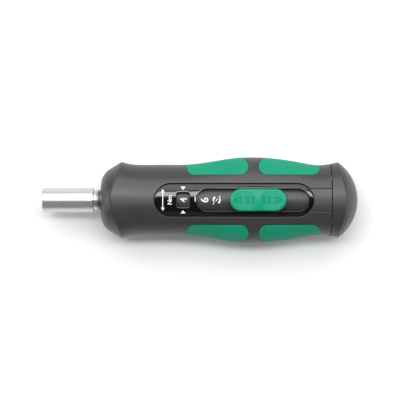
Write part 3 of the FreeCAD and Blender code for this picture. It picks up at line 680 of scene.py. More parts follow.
def assemble(
    tree: bpy.types.NodeTree, made: dict[str, bpy.types.Node], nodes: NodeRows, links: Links
) -> None:
    """Adds nodes to a tree and links them.

    Args:
        tree: Tree that gets the nodes.
        made: Nodes that the tree has already, by the name that the links use.
        nodes: Type and settings of each new node. A setting named as a socket is that socket's value.
        links: Node and socket that each link leaves, and those that it enters.
    """
    for label, (kind, settings) in nodes.items():
        node = made[label] = tree.nodes.new(kind)
        for key, value in settings.items():
            if isinstance(key, int) or key in node.inputs:
                node.inputs[key].default_value = value
            else:
                setattr(node, key, value)
    for source, leaves, target, enters in links:
        tree.links.new(made[source].outputs[leaves], made[target].inputs[enters])


def group_tree(
    name: str,
    kind: str,
    inputs: Sequence[tuple[str, str, float | None]],
    outputs: Sequence[tuple[str, str]],
    nodes: NodeRows,
    links: Links,
) -> bpy.types.NodeTree:
    """Builds a group of nodes, once.

    Args:
        name: Name of the group.
        kind: Type of its tree.
        inputs: Name, socket type and default of each input, where None leaves the default.
        outputs: Name and socket type of each output.
        nodes: Its nodes, as assemble takes them.
        links: Its links, in which the ends of the group are given and result.

    Returns:
        The group.
    """
    if name in bpy.data.node_groups:
        return bpy.data.node_groups[name]
    tree = bpy.data.node_groups.new(name, kind)
    for label, socket_type, default in inputs:
        socket = tree.interface.new_socket(label, in_out="INPUT", socket_type=socket_type)
        if default is not None:
            socket.default_value = default
    for label, socket_type in outputs:
        tree.interface.new_socket(label, in_out="OUTPUT", socket_type=socket_type)
    ends = {"given": tree.nodes.new("NodeGroupInput"), "result": tree.nodes.new("NodeGroupOutput")}
    assemble(tree, ends, nodes, links)
    return tree


class Effects:
    """Shader groups that several finishes share."""

    @staticmethod
    def moulding_grain() -> bpy.types.NodeTree:
        """Fine pebbled grain of a moulding, with slow cloudiness in its gloss.

        Returns:
            The group.
        """
        return group_tree(
            "moulding_grain",
            "ShaderNodeTree",
            [("Grains", FLOAT, 2200.0), ("Gloss", FLOAT, 0.4), ("Spread", FLOAT, 0.08)],
            [("Height", FLOAT), ("Roughness", FLOAT), ("Mottle", FLOAT)],
            {
                "place": ("ShaderNodeTexCoord", {}),
                "grain": ("ShaderNodeTexNoise", {"Detail": 3.0}),
                "cloud": ("ShaderNodeTexNoise", {"Scale": 70.0, "Detail": 4.0}),
                "centred": ("ShaderNodeMath", {"operation": "SUBTRACT", 1: 0.5}),
                "spread": ("ShaderNodeMath", {"operation": "MULTIPLY_ADD"}),
            },
            [
                ("place", "Object", "grain", "Vector"),
                ("place", "Object", "cloud", "Vector"),
                ("given", "Grains", "grain", "Scale"),
                ("cloud", "Fac", "centred", 0),
                ("centred", 0, "spread", 0),
                ("given", "Spread", "spread", 1),
                ("given", "Gloss", "spread", 2),
                ("grain", "Fac", "result", "Height"),
                ("spread", 0, "result", "Roughness"),
                ("cloud", "Fac", "result", "Mottle"),
            ],
        )

    @staticmethod
    def edge_wear() -> bpy.types.NodeTree:
        """Mask of rubbed convex edges, broken up by noise.

        Returns:
            The group.
        """
        return group_tree(
            "edge_wear",
            "ShaderNodeTree",
            [("Start", FLOAT, 0.53), ("Break Up", FLOAT, 900.0)],
            [("Mask", FLOAT)],
            {
                "shape": ("ShaderNodeNewGeometry", {}),
                "place": ("ShaderNodeTexCoord", {}),
                "noise": ("ShaderNodeTexNoise", {}),
                "over": ("ShaderNodeMath", {"operation": "SUBTRACT"}),
                "gain": ("ShaderNodeMath", {"operation": "MULTIPLY", "use_clamp": True, 1: 9.0}),
                "mask": ("ShaderNodeMath", {"operation": "MULTIPLY", "use_clamp": True}),
            },
            [
                ("shape", "Pointiness", "over", 0),
                ("given", "Start", "over", 1),
                ("over", 0, "gain", 0),
                ("place", "Object", "noise", "Vector"),
                ("given", "Break Up", "noise", "Scale"),
                ("gain", 0, "mask", 0),
                ("noise", "Fac", "mask", 1),
                ("mask", 0, "result", "Mask"),
            ],
        )

    @staticmethod
    def turning_lines() -> bpy.types.NodeTree:
        """Fine rings left by turning, around the drive axis.

        Returns:
            The group.
        """
        return group_tree(
            "turning_lines",
            "ShaderNodeTree",
            [("Lines", FLOAT, 9000.0), ("Gloss", FLOAT, 0.28)],
            [("Height", FLOAT), ("Roughness", FLOAT)],
            {
                "place": ("ShaderNodeTexCoord", {}),
                "squeeze": ("ShaderNodeMapping", {"Scale": (1.0, 0.02, 0.02)}),
                "noise": ("ShaderNodeTexNoise", {"Detail": 4.0}),
                "gloss": ("ShaderNodeMath", {"operation": "MULTIPLY_ADD", 1: 0.05}),
            },
            [
                ("place", "Object", "squeeze", "Vector"),
                ("squeeze", "Vector", "noise", "Vector"),
                ("given", "Lines", "noise", "Scale"),
                ("noise", "Fac", "gloss", 0),
                ("given", "Gloss", "gloss", 2),
                ("noise", "Fac", "result", "Height"),
                ("gloss", 0, "result", "Roughness"),
            ],
        )


@dataclass(frozen=True)
class Finish:
    """A moulded plastic or rubber finish."""

    name: str
    slot: str
    colour: tuple[int, int, int]
    worn: tuple[int, int, int]
    gloss: float = 0.4
    spread: float = 0.1
    grains: float = 2200.0
    grain_depth: float = 0.00004
    grain_strength: float = 0.25
    specular: float = 0.5
    metallic: float = 0.0

    def pattern(self) -> tuple[NodeRows, Links]:
        """The grain of the moulding, and the mottled colour under its wear.

        Returns:
            The nodes of the pattern, and their links.
        """
        dark = (round(c * MOTTLE) for c in self.colour)
        tone = {"data_type": "RGBA", "A": linear(*self.colour), "B": linear(*dark)}
        grain = {"node_tree": Effects.moulding_grain(), "Grains": self.grains}
        grain |= {"Gloss": self.gloss, "Spread": self.spread}
        nodes = {"pattern": ("ShaderNodeGroup", grain), "tone": ("ShaderNodeMix", tone)}
        return nodes, [("pattern", "Mottle", "tone", "Factor"), ("tone", "Result", "rubbed", "A")]

    def material(self) -> bpy.types.Material:
        """Makes the material of the finish, once.

        Returns:
            The material.
        """
        if self.name in bpy.data.materials:
            return bpy.data.materials[self.name]
        made = bpy.data.materials.new(self.name)
        made.use_nodes = True
        shader = made.node_tree.nodes["Principled BSDF"]
        shader.inputs["Metallic"].default_value = self.metallic
        shader.inputs["Specular IOR Level"].default_value = self.specular
        nodes, links = self.pattern()
        rubbed = {"data_type": "RGBA", "A": linear(*self.colour), "B": linear(*self.worn)}
        nodes |= {
            "wear": ("ShaderNodeGroup", {"node_tree": Effects.edge_wear()}),
            "rubbed": ("ShaderNodeMix", rubbed),
            "bump": ("ShaderNodeBump", {"Strength": self.grain_strength, "Distance": self.grain_depth}),
        }
        links += [
            ("wear", "Mask", "rubbed", "Factor"),
            ("rubbed", "Result", "shader", "Base Color"),
            ("pattern", "Roughness", "shader", "Roughness"),
            ("pattern", "Height", "bump", "Height"),
            ("bump", "Normal", "shader", "Normal"),
        ]
        assemble(made.node_tree, {"shader": shader}, nodes, links)
        return made


@dataclass(frozen=True)
class MetalFinish(Finish):
    """A turned or drawn metal finish."""

    metallic: float = 1.0
    lines: float = 9000.0

    def pattern(self) -> tuple[NodeRows, Links]:
        """The rings that turning left, and no links of their own."""
        rings = {"node_tree": Effects.turning_lines(), "Lines": self.lines, "Gloss": self.gloss}
        return {"pattern": ("ShaderNodeGroup", rings)}, []


HARD_GREY = Finish("hard_grey_plastic", "body", (47, 47, 48), (80, 80, 81), gloss=0.38)
SOFT_GREEN = Finish(
    "soft_green_rubber", "inlay", (0, 140, 106), (24, 160, 126),
    gloss=0.6, grains=1500.0, grain_depth=0.00006, grain_strength=0.35, specular=0.22,
)
GLOSS_BLACK = Finish(
    "gloss_black_plastic", "bezel", (6, 6, 7), (26, 26, 28), gloss=0.1, spread=0.04, grain_strength=0.02,
)
MATT_STRIP = Finish("matt_strip_plastic", "strip", (46, 46, 47), (74, 74, 76), gloss=0.42)
BUTTON_GREEN = Finish(
    "button_green_plastic", "button", (0, 148, 112), (40, 182, 146),
    gloss=0.4, spread=0.08, grain_strength=0.15, specular=0.22,
)
PRINT_WHITE = Finish(
    "printed_white", "strip", (232, 232, 230), (232, 232, 230), gloss=0.5, grains=4000.0, grain_depth=0.00001,
)
SATIN_STEEL = MetalFinish(
    "satin_steel", "holder", (200, 201, 204), (226, 227, 230), gloss=0.3, grain_depth=0.000002,
)
PLAIN_STEEL = MetalFinish(
    "plain_steel", "steel", (168, 170, 174), (205, 206, 208), gloss=0.3, grain_depth=0.00001,
)
HARD_STEEL = MetalFinish(
    "hardened_steel", "hardened", (120, 116, 112), (180, 178, 176), gloss=0.26, grain_depth=0.00001,
)
DARK_BUSH = MetalFinish(
    "oiled_sintered_bush", "bush", (84, 76, 68), (120, 108, 94), gloss=0.42, grain_depth=0.00002,
)
MAGNET = MetalFinish(
    "nickel_magnet", "magnet", (150, 148, 142), (190, 188, 182), gloss=0.24, grain_depth=0.00001,
)
PLASTICS = (HARD_GREY, SOFT_GREEN, GLOSS_BLACK, MATT_STRIP, BUTTON_GREEN)
METALS = (SATIN_STEEL, PLAIN_STEEL, HARD_STEEL, DARK_BUSH, MAGNET)
FINISH_OF_SLOT = {f.slot: f for f in (*PLASTICS, *METALS)}
NODE_SLOTS = {
    "front_bush": "bush",
    "bit_magnet": "magnet",
    "selector_sleeve": "hardened",
    "driven_ring": "hardened",
    "pressure_ring": "hardened",
}


# ------------------------------------------------------------------ outlines of the handle


@dataclass(frozen=True)
class ScaleSizes:
    """Places of the bezel, its slot and window, and the filler behind it."""

    start: float = 22.1
    end: float = 86.5
    width: float = 13.3
    gap: float = 0.1
    inset: float = 0.25
    bottom: float = 11.55
    slot: tuple[float, float, float] = (39.15, 84.7, 9.3)
    window: tuple[float, float, float, float] = (31.3, 36.1, 2.85, 0.9)
    cover_half: float = 4.65
    shell_end: float = 93.85

    def meeting(self, reach: float, half: float) -> tuple[float, float]:
        """Finds where a straight side meets the round rear end.

        Args:
            reach: Radius of the round end.
            half: Distance of the side from the drive axis.

        Returns:
            The angle on the round end, in degrees, and the x.
        """
        meet = math.degrees(math.asin(half / reach))
        return meet, self.end - self.width / 2 + reach * math.cos(math.radians(meet))

    def bed(self, grow: float) -> np.ndarray:
        """Outline of the bezel's bed and the filler's groove, open at the parting line.

        Args:
            grow: How far every side moves outward.

        Returns:
            Points of the outline in plan.
        """
        r = self.width / 2
        reach, half = r + self.gap + grow, self.cover_half + self.gap / 2 + grow
        rear, front = self.end - r, self.start + r
        meet, meet_x = self.meeting(reach, half)
        return np.vstack(
            [
                line((self.shell_end, half), (meet_x, half)),
                arc((rear, 0), reach, meet, 90, 12),
                line((rear, reach), (front, reach)),
                arc((front, 0), reach, 90, 270, 36),
                line((front, -reach), (rear, -reach)),
                arc((rear, 0), reach, 270, 360 - meet, 12),
                line((meet_x, -half), (self.shell_end, -half)),
                [(self.shell_end, -half)],
            ]
        )

    def cover(self, grow: float) -> np.ndarray:
        """Outline of the filler behind the bezel.

        Args:
            grow: How far every side moves outward.

        Returns:
            Points of the outline in plan.
        """
        r = self.width / 2
        reach, half, rear = r + self.gap - grow, self.cover_half + grow, self.end - r
        meet, meet_x = self.meeting(reach, half)
        end = self.shell_end + grow
        return np.vstack(
            [
                line((meet_x, -half), (end, -half)),
                line((end, -half), (end, half)),
                line((end, half), (meet_x, half)),
                arc((rear, 0), reach, meet, -meet, 16),
            ]
        )


@dataclass(frozen=True)
class InlaySizes:
    """One soft inlay: a rounded corner at one end and a full round at the other."""

    flat_x: float
    round_x: float
    edge_y: float = 10.2
    corner: float = 3.5

    def outline(self, grow: float) -> np.ndarray:
        """Closed outline around the +Y side of the handle.

        Args:
            grow: How far every side moves outward.

        Returns:
            Points of the outline on the sheet.
        """
        way = 1 if self.round_x > self.flat_x else -1
        r, mid = self.corner + grow, self.edge_y + self.corner
        flat, hub = self.flat_x - way * grow, self.round_x - way * self.corner
        elbow = self.flat_x + way * self.corner
        last = 90 - math.degrees(math.asin(grow / r)) if grow > 0 else 90
        runs = [
            arc((elbow, mid), r, 180 if way > 0 else 0, 270 if way > 0 else -90, 10),
            line((elbow, self.edge_y - grow), (hub, self.edge_y - grow)),
            arc((hub, mid), r, -90, last if way > 0 else -180 - last, 22),
        ]
        plan = np.vstack(runs + [[(hub + way * grow, mid + math.sqrt(r * r - max(grow, 0) ** 2))]])
        half = FORM.from_plan(plan)
        tip = hub + way * grow
        down, up = line((flat, SIDE), half[0]), line(half[-1], (tip, SIDE))
        upper = np.vstack([down, half[:-1], up])
        back = upper[::-1].copy()
        back[:, 1] = 2 * SIDE - back[:, 1]
        return np.vstack([upper, [(tip, SIDE)], back[:-1]])


SCALE = ScaleSizes()
INLAYS = {"front": InlaySizes(35.0, 60.27), "rear": InlaySizes(89.5, 64.37)}


def mirrored(sheet: np.ndarray) -> np.ndarray:
    """The same outline on the -Y side."""
    return sheet * np.array([1.0, -1.0])


# ------------------------------------------------------------------ sub-assemblies


@dataclass
class Handle:
    """Hard body, soft inlays, tail ring and end cap."""

    wall: float = 1.7
    inlay_thin: float = 0.1
    inlay_gap: float = 0.05
    inlay_step: float = 0.65
    inlay_reach: float = 13.0
    seam_round: float = 0.16
    bed_round: float = 0.3
    rim_wall: float = 0.95
    rim_round: float = 0.12
    rim_slope: float = 0.62
    rim_depth: float = 1.6
    rim_blend: float = 0.5
    ring_shares: tuple[float, float] = (0.06, 0.93)
    ring_rows: int = 18
    spigot_start: float = 93.72
    spigot_drops: tuple[float, float] = (2.5, 1.85)
    seam_gap: float = 0.12
    cap_gap: float = 0.3
    cap_round: float = 0.14
    cap_depth: float = 1.5
    columns: int = 150
    around: int = 133
    face_rows: int = 4
    nose_rows: int = 18
    flange_span: tuple[float, float, float] = (3.6, 11.0, 0.35)
    body_span: tuple[float, float, float] = (11.2, 93.25, 0.7)
    floor: tuple[float, float, float, float] = (8.2, 93.6, 5.6, 0.4)
    key_opening: tuple[float, float, float, float] = (48.3, 77.1, 2.25, 0.4)
    floor_top: float = 9.75
    floor_thick: float = 0.2

    def rows(self) -> np.ndarray:
        """Rows of the body's lattice, closer together where its form curves most.

        Returns:
            Distances along the sheet.
        """
        nose, seam = FORM.nose_start(), [SCALE.shell_end - d for d, _ in rounding(self.seam_round)]
        face = np.linspace(nose - FORM.face_radius + FORM.bore, nose, self.face_rows)
        rounded = np.linspace(nose, FORM.nose_end[0], self.nose_rows)[1:]
        spans = [np.arange(*self.flange_span), np.arange(*self.body_span)]
        return np.concatenate([face, rounded, *spans, seam[::-1]])

    def shell(self) -> None:
        """Hard body with the beds of the inlays, bezel and filler."""
        around = np.linspace(-math.pi, math.pi, self.around) * ARC_SCALE
        sheet = Sheet(grid(self.rows(), around), clear=0.34)
        bed = on_form(SCALE.bed)
        holes = [bed(0.0)]
        for inlay in INLAYS.values():
            for distance, drop in rounding(self.seam_round):
                loop = inlay.outline(self.inlay_gap + distance)
                sheet.add(loop, drop)
                sheet.add(mirrored(loop), drop)
            loop = inlay.outline(self.inlay_gap)
            holes += [loop, mirrored(loop)]
        sheet.add_rounded(bed, self.bed_round, 1, closed=False)
        flat, drop, triangles = sheet.cut(None, holes)
        triangles = weld_back(flat, triangles)
        end = np.clip(SCALE.shell_end - flat[:, 0], 0, self.seam_round)
        end_drop = self.seam_round - np.sqrt(self.seam_round**2 - (self.seam_round - end) ** 2)
        top = FORM.at(flat, np.maximum(drop, end_drop))
        shape = plate(top, FORM.at(flat, self.wall), triangles)
        piece("handle_body", shape, HARD_GREY, Body.HANDLE, ["handle_shell"])

    def inlay(self, span: str, left: bool) -> None:
        """One soft inlay, flush with the body.

        Args:
            span: Which pair it is of, front or rear.
            left: True for the one on the +Y side.
        """
        sizes, reach, step = INLAYS[span], self.inlay_reach, self.inlay_step
        low, high = sorted((sizes.flat_x, sizes.round_x))
        across = SIDE + np.arange(-reach, reach + 0.1, step)
        sheet = Sheet(grid(np.arange(low - 1, high + 1, step), across), clear=0.32)
        sheet.add_rounded(sizes.outline, self.seam_round, -1)
        flat, drop, triangles = sheet.cut(sizes.outline(0.0))
        if not left:
            flat = mirrored(flat)
        name = f"grip_{span}_{'left' if left else 'right'}"
        shape = plate(FORM.at(flat, drop), FORM.at(flat, self.wall - self.inlay_thin), triangles)
        piece(f"soft_{name}", shape, SOFT_GREEN, Body.HANDLE, [name])

    def cap_edge(self, turn: np.ndarray, inset: float) -> tuple[np.ndarray, np.ndarray]:
        """Where the oval, drawn in by an inset, meets the rear dome.

        Args:
            turn: Angles around the drive axis.
            inset: How far the oval is drawn in.

        Returns:
            The x and the radius at each angle.
        """
        x = np.full(turn.shape, 99.0)
        for _ in range(12):
            radius = FORM.oval(x, turn, inset)
            x = FORM.length - FORM.dome_radius + np.sqrt(FORM.dome_radius**2 - radius**2)
        return x, FORM.oval(x, turn, inset)

    def tail(self) -> None:
        """Tail ring behind the parting line, with the spigot under the body."""
        turn = turns(self.columns)
        start = FORM.split + self.seam_gap
        end, end_radius = self.cap_edge(turn, self.rim_wall)

        def skin(x: np.ndarray) -> np.ndarray:
            """Radius of the outside of the ring at x."""
            _, limit, _ = FORM.rail(x)
            return soft_min(FORM.oval(x, turn), limit, self.rim_blend)

        first = FORM.oval(np.full(turn.shape, start), turn)
        inner, outer = (first - drop for drop in self.spigot_drops)
        loops = [ring(self.spigot_start, r, turn) for r in (inner, outer)] + [ring(start, outer, turn)]
        for distance, drop in rounding(self.seam_round):
            loops.append(ring(start + distance, skin(start + np.full(turn.shape, distance)) - drop, turn))
        for share in np.linspace(*self.ring_shares, self.ring_rows):
            x = start + self.seam_round + (end - start - self.seam_round) * share
            loops.append(ring(x, skin(x), turn))
        for distance, drop in reversed(rounding(self.rim_round)):
            x = end - distance * self.rim_slope
            loops.append(ring(x - drop * 0.8, skin(x) - drop * 0.5, turn))
        loops += [ring(end - self.rim_depth, end_radius - drop, turn) for drop in (0.02, 3.0)]
        piece("tail_ring_body", ringed(loops, True), HARD_GREY, Body.HANDLE, ["tail_ring"])

    def cap(self) -> None:
        """Domed cap in the rim of the tail ring."""
        turn = turns(self.columns)
        end, radius = self.cap_edge(turn, self.rim_wall + self.cap_gap)
        hub = FORM.length - FORM.dome_radius
        loops = [ring(end - self.cap_depth, r, turn) for r in (radius * 0.02, radius - 0.02)]
        for distance, drop in rounding(self.cap_round):
            r = radius - distance
            loops.append(ring(hub + np.sqrt(FORM.dome_radius**2 - r**2) - drop, r, turn))
        for share in np.cos(np.linspace(0.16, math.pi / 2 - 0.02, 22)):
            r = (radius - self.cap_round) * share
            loops.append(ring(hub + np.sqrt(FORM.dome_radius**2 - r**2), r, turn))
        piece("end_cap_dome", ringed(loops, False), HARD_GREY, Body.HANDLE, ["end_cap"])

    def channel(self) -> None:
        """Floor of the slide's channel, with the opening of the sleeve's key."""
        outer, opening = (rounded_box(*box)(0.0) for box in (self.floor, self.key_opening))
        sheet = Sheet(NO_LATTICE)
        sheet.add(outer, 0.0)
        sheet.add(opening, 0.0)
        flat, _, triangles = sheet.cut(outer, [opening])
        top = np.column_stack([flat, np.full(len(flat), self.floor_top)])
        shape = plate(top, top - [0, 0, self.floor_thick], triangles)
        piece("slide_channel_floor", shape, HARD_GREY, Body.HANDLE)

    def build(self) -> None:
        """Makes every piece of the handle."""
        self.shell()
        for span in INLAYS:
            for left in (True, False):
                self.inlay(span, left)
        self.tail()
        self.cap()
        self.channel()


@dataclass
class ScalePlate:
    """Glossy bezel with its window and slot, and the filler behind it."""

    outer_round: float = 0.3
    slot_round: float = 0.22
    window_round: float = 0.55

    cover_round: float = 0.16

    def bezel(self) -> None:
        """Crowned plate with the value window and the slot."""
        plans = stadium(SCALE.start, SCALE.end, SCALE.width), stadium(*SCALE.slot), rounded_box(*SCALE.window)
        rim, slot, window = map(on_form, plans)
        sheet = Sheet.over(x_start=22, x_end=87, half=7.5, step=(0.5, 0.45), clear=0.22)
        sheet.add_rounded(rim, self.outer_round, -1)
        sheet.add_rounded(slot, self.slot_round, 1)
        sheet.add_rounded(window, self.window_round, 1)
        flat, drop, triangles = sheet.cut(rim(0.0), [slot(0.0), window(0.0)])
        top = FORM.at(flat, drop, SCALE.inset)
        bottom = top.copy()
        bottom[:, 2] = SCALE.bottom
        piece("scale_bezel_plate", plate(top, bottom, triangles), GLOSS_BLACK, Body.HANDLE, ["scale_bezel"])

    def cover(self) -> None:
        """Filler between the bezel and the tail, flush with the body."""
        rim = on_form(SCALE.cover)
        sheet = Sheet.over(x_start=83, x_end=94, half=5, step=(0.5, 0.5), clear=0.24)
        sheet.add_rounded(rim, self.cover_round, -1)
        flat, drop, triangles = sheet.cut(rim(0.0))
        top = FORM.at(flat, drop)
        bottom = top.copy()
        bottom[:, 2] = SCALE.bottom
        piece("channel_filler", plate(top, bottom, triangles), HARD_GREY, Body.HANDLE, ["channel_cover"])

    def build(self) -> None:
        """Makes the plate and its filler."""
        self.bezel()
        self.cover()


@dataclass
class Slide:
    """Thumb button with its recessed marks, and the value strip."""

    start: float = 52.6
    length: float = 22.8
    width: float = 9.0
    top: float = 15.3
    crown: float = 16.0
    edge_round: float = 0.75
    dish_radius: float = 13.0
    dish_depth: float = 0.85
    dish_offset: float = 5.6
    mark_depth: float = 0.3
    mark_half: float = 1.5
    mark_line: float = 0.36
    mark_slope: float = 0.06
    bars: tuple[tuple[float, float], ...] = ((-4.95, -3.8), (-2.7, -1.5), (1.6, 2.7), (3.75, 4.95))
    arrow: tuple[float, float] = (6.9, 10.0)
    root: float = 0.75
    strip: tuple[float, float, float, float] = (21.5, 84.9, 5.5, 3.0)
    strip_top: float = 11.4
    strip_bottom: float = 9.95
    strip_crown: float = 10.0
    strip_round: float = 0.2
    strip_side: float = 0.35

    @property
    def middle(self) -> float:
        """Middle of the button along the tool."""
        return self.start + self.length / 2

    def skin(self, plan: np.ndarray) -> np.ndarray:
        """Height of the button's top, a crown with two thumb dishes.

        Args:
            plan: Points as x and y.

        Returns:
            The height over the drive axis at each.
        """
        x, y = plan[:, 0], plan[:, 1]
        height = self.top - self.crown + np.sqrt(self.crown**2 - y**2)
        for way in (-1, 1):
            off = np.clip(np.abs(x - self.middle - way * self.dish_offset), 0, self.dish_radius - 0.1)
            dish = self.top - self.dish_depth + self.dish_radius - np.sqrt(self.dish_radius**2 - off**2)
            height = soft_min(height, dish, 0.16)
        return height

    def marks(self) -> list[Outline]:
        """Outlines of the recessed arrow heads and bars.

        Returns:
            Functions that give each outline at a growth.
        """
        half, m, (base, tip) = self.mark_half, self.middle, self.arrow
        bars = [convex([(m + a, -half), (m + b, -half), (m + b, half), (m + a, half)]) for a, b in self.bars]
        front = convex([(m - tip, 0), (m - base, -half), (m - base, half)])
        rear = convex([(m + tip, 0), (m + base, half), (m + base, -half)])
        return [front, *bars, rear]

    def button(self) -> None:
        """Thumb button, standing through the slot."""
        rim = stadium(self.start, self.start + self.length, self.width)
        behind = self.start + self.length + 0.2
        sheet = Sheet.over(x_start=self.start, x_end=behind, half=self.width / 2, step=(0.3, 0.3), clear=0.15)
        sheet.add_rounded(rim, self.edge_round, -1)
        steep, deep = self.mark_slope, self.mark_depth
        walls = (0.0, 0.0), (-steep, deep), (-self.mark_line + steep, deep), (-self.mark_line, 0.0)
        for mark in self.marks():
            for distance, drop in walls:
                sheet.add(mark(distance), drop)
        flat, drop, triangles = sheet.cut(rim(0.0))
        top = np.column_stack([flat, self.skin(flat) - drop])
        bottom = np.column_stack([flat, np.full(len(flat), self.strip_top - self.root)])
        piece("thumb_button", plate(top, bottom, triangles), BUTTON_GREEN, Body.SLIDER, ["slide_button"])

    def strip_height(self, y: np.ndarray) -> np.ndarray:
        """Height of the crowned value strip."""
        crown = self.strip_top - self.strip_crown + np.sqrt(self.strip_crown**2 - y**2)
        return np.maximum(crown, self.strip_bottom + self.strip_side)

    def value_strip(self) -> None:
        """Crowned strip that carries the values under the window."""
        rim = rounded_box(*self.strip)
        sheet = Sheet.over(x_start=21.5, x_end=85, half=5.2, step=(0.9, 0.52), clear=0.25)
        sheet.add_rounded(rim, self.strip_round, -1)
        flat, drop, triangles = sheet.cut(rim(0.0))
        top = np.column_stack([flat, self.strip_height(flat[:, 1]) - drop])
        bottom = np.column_stack([flat, np.full(len(flat), self.strip_bottom)])
        piece("value_strip_top", plate(top, bottom, triangles), MATT_STRIP, Body.SLIDER, ["value_strip"])

    def build(self) -> None:
        """Makes the button and the strip."""
        self.value_strip()
        self.button()


@dataclass
class Prints:
    """White prints on the bezel and on the value strip."""

    ink: float = 0.03
    root: float = 0.12
    boldness: float = 0.018
    unit: tuple[str, float, float] = ("Nm", 28.3, 1.8)
    values: tuple[tuple[str, float, float], ...] = (("4", 33.8, 2.7), ("6", 42.35, 3.2), ("2", 25.1, 2.7))
    bar: tuple[float, float, float] = (25.5, 3.2, 0.34)
    bar_head: tuple[float, float, float] = (0.75, 3.1, 4.4)
    pointer_x: float = 33.7
    pointer: tuple[float, float, float] = (1.05, 5.4, 4.1)
    tick: tuple[tuple[float, float], ...] = ((38.6, -0.6), (38.6, 0.4), (38.6, 1.4))
    tick_width: float = 0.36
    lock_hub: tuple[float, float] = (47.3, 0.0)
    lock_radius: float = 1.35
    lock_line: tuple[float, float] = (1.5, 1.75)
    shapes: list[tuple[np.ndarray, np.ndarray]] = field(default_factory=list)

    def letters(self, text: str, x: float, height: float) -> None:
        """Adds text whose tops point to the bit holder, centred on the drive axis.

        Args:
            text: The letters or digits.
            x: Their middle along the tool.
            height: Their height.
        """
        curve = bpy.data.curves.new(text, "FONT")
        curve.body = text
        curve.resolution_u = 6
        curve.offset = self.boldness
        holder = bpy.data.objects.new(text, curve)
        bpy.context.scene.collection.objects.link(holder)
        bpy.context.view_layer.update()
        mesh = bpy.data.meshes.new_from_object(holder)
        work = bmesh.new()
        work.from_mesh(mesh)
        bmesh.ops.remove_doubles(work, verts=work.verts[:], dist=1e-5)
        bmesh.ops.triangulate(work, faces=work.faces[:])
        points = np.array([v.co[:2] for v in work.verts])
        triangles = np.array([[v.index for v in f.verts] for f in work.faces])
        work.free()
        bpy.data.objects.remove(holder)
        points = (points - (points.min(0) + points.max(0)) / 2) * height / np.ptp(points[:, 1])
        self.shapes.append((np.column_stack([x - points[:, 1], points[:, 0]]), triangles))

    def filled(self, outline: np.ndarray) -> None:
        """Adds a filled outline.

        Args:
            outline: Points of the outline in plan.
        """
        sheet = Sheet(NO_LATTICE)
        sheet.add(outline, 0.0)
        flat, _, triangles = sheet.cut(outline)
        self.shapes.append((flat, triangles))

    def triangle(self, x: float, sizes: Sequence[float], way: int, order: int) -> None:
        """Adds a triangle that points across the tool.

        Args:
            x: Its middle along the tool.
            sizes: Half of its base, and how far out its base and its tip lie.
            way: 1 on the +Y side, -1 on the other.
            order: 1 or -1, the order of its corners.
        """
        half, base, tip = sizes
        corners = [(x - half, way * base), (x, way * tip), (x + half, way * base)]
        self.filled(np.array(corners)[::order])

    def stroke(self, path: np.ndarray, widths: Sequence[float]) -> None:
        """Adds a stroke along a path.

        Args:
            path: Points of its middle line.
            widths: Its width at each point, or one for all.
        """
        ahead = np.gradient(path, axis=0)
        ahead /= np.linalg.norm(ahead, axis=1)[:, None]
        half = (np.broadcast_to(widths, len(path)) / 2)[:, None]
        across = np.column_stack([-ahead[:, 1], ahead[:, 0]]) * half
        self.filled(np.vstack([path + across, (path - across)[::-1]]))

    def finish(self, name: str, body: Body, height: Callable[[np.ndarray], np.ndarray]) -> None:
        """Lays every added shape on a surface, as one piece.

        Args:
            name: Name of the piece.
            body: Body that it moves with.
            height: Gives the height of the surface at plan points.
        """
        tops, bottoms, triangles, count = [], [], [], 0
        for flat, faces in self.shapes:
            level = height(flat)
            tops.append(np.column_stack([flat, level + self.ink]))
            bottoms.append(np.column_stack([flat, level - self.root]))
            triangles.append(faces + count)
            count += len(flat)
        piece(name, plate(np.vstack(tops), np.vstack(bottoms), np.vstack(triangles)), PRINT_WHITE, body)
        self.shapes = []

    def on_bezel(self) -> None:
        """Unit, double arrow, window triangles and tick."""
        self.letters(*self.unit)
        x, half, width = self.bar
        self.stroke(np.column_stack([np.full(12, x), np.linspace(-half, half, 12)]), [width])
        for way in (-1, 1):
            self.triangle(x, self.bar_head, way, -way)
            self.triangle(self.pointer_x, self.pointer, way, way)
        self.stroke(np.array(self.tick), [self.tick_width])
        self.finish("bezel_prints", Body.HANDLE, lambda p: FORM.height(p[:, 0], p[:, 1], SCALE.inset))

    def on_strip(self, slide: Slide) -> None:
        """Values, and the crossed turning symbol of the locked position.

        Args:
            slide: The slide whose strip carries them.
        """
        for value in self.values:
            self.letters(*value)
        hub, end = np.array(self.lock_hub), np.array(self.lock_line)
        for first in (0, 180):
            angles = np.radians(first + np.linspace(-62, 48, 16))
            path = hub + self.lock_radius * np.column_stack([np.cos(angles), np.sin(angles)])
            self.stroke(path, np.interp(np.arange(16), [0, 8, 15], [0.75, 0.5, 0.3]))
        self.stroke(np.array([hub - end, hub, hub + end]), [self.bar[2]])
        self.finish("strip_prints", Body.SLIDER, lambda p: slide.strip_height(p[:, 1]))


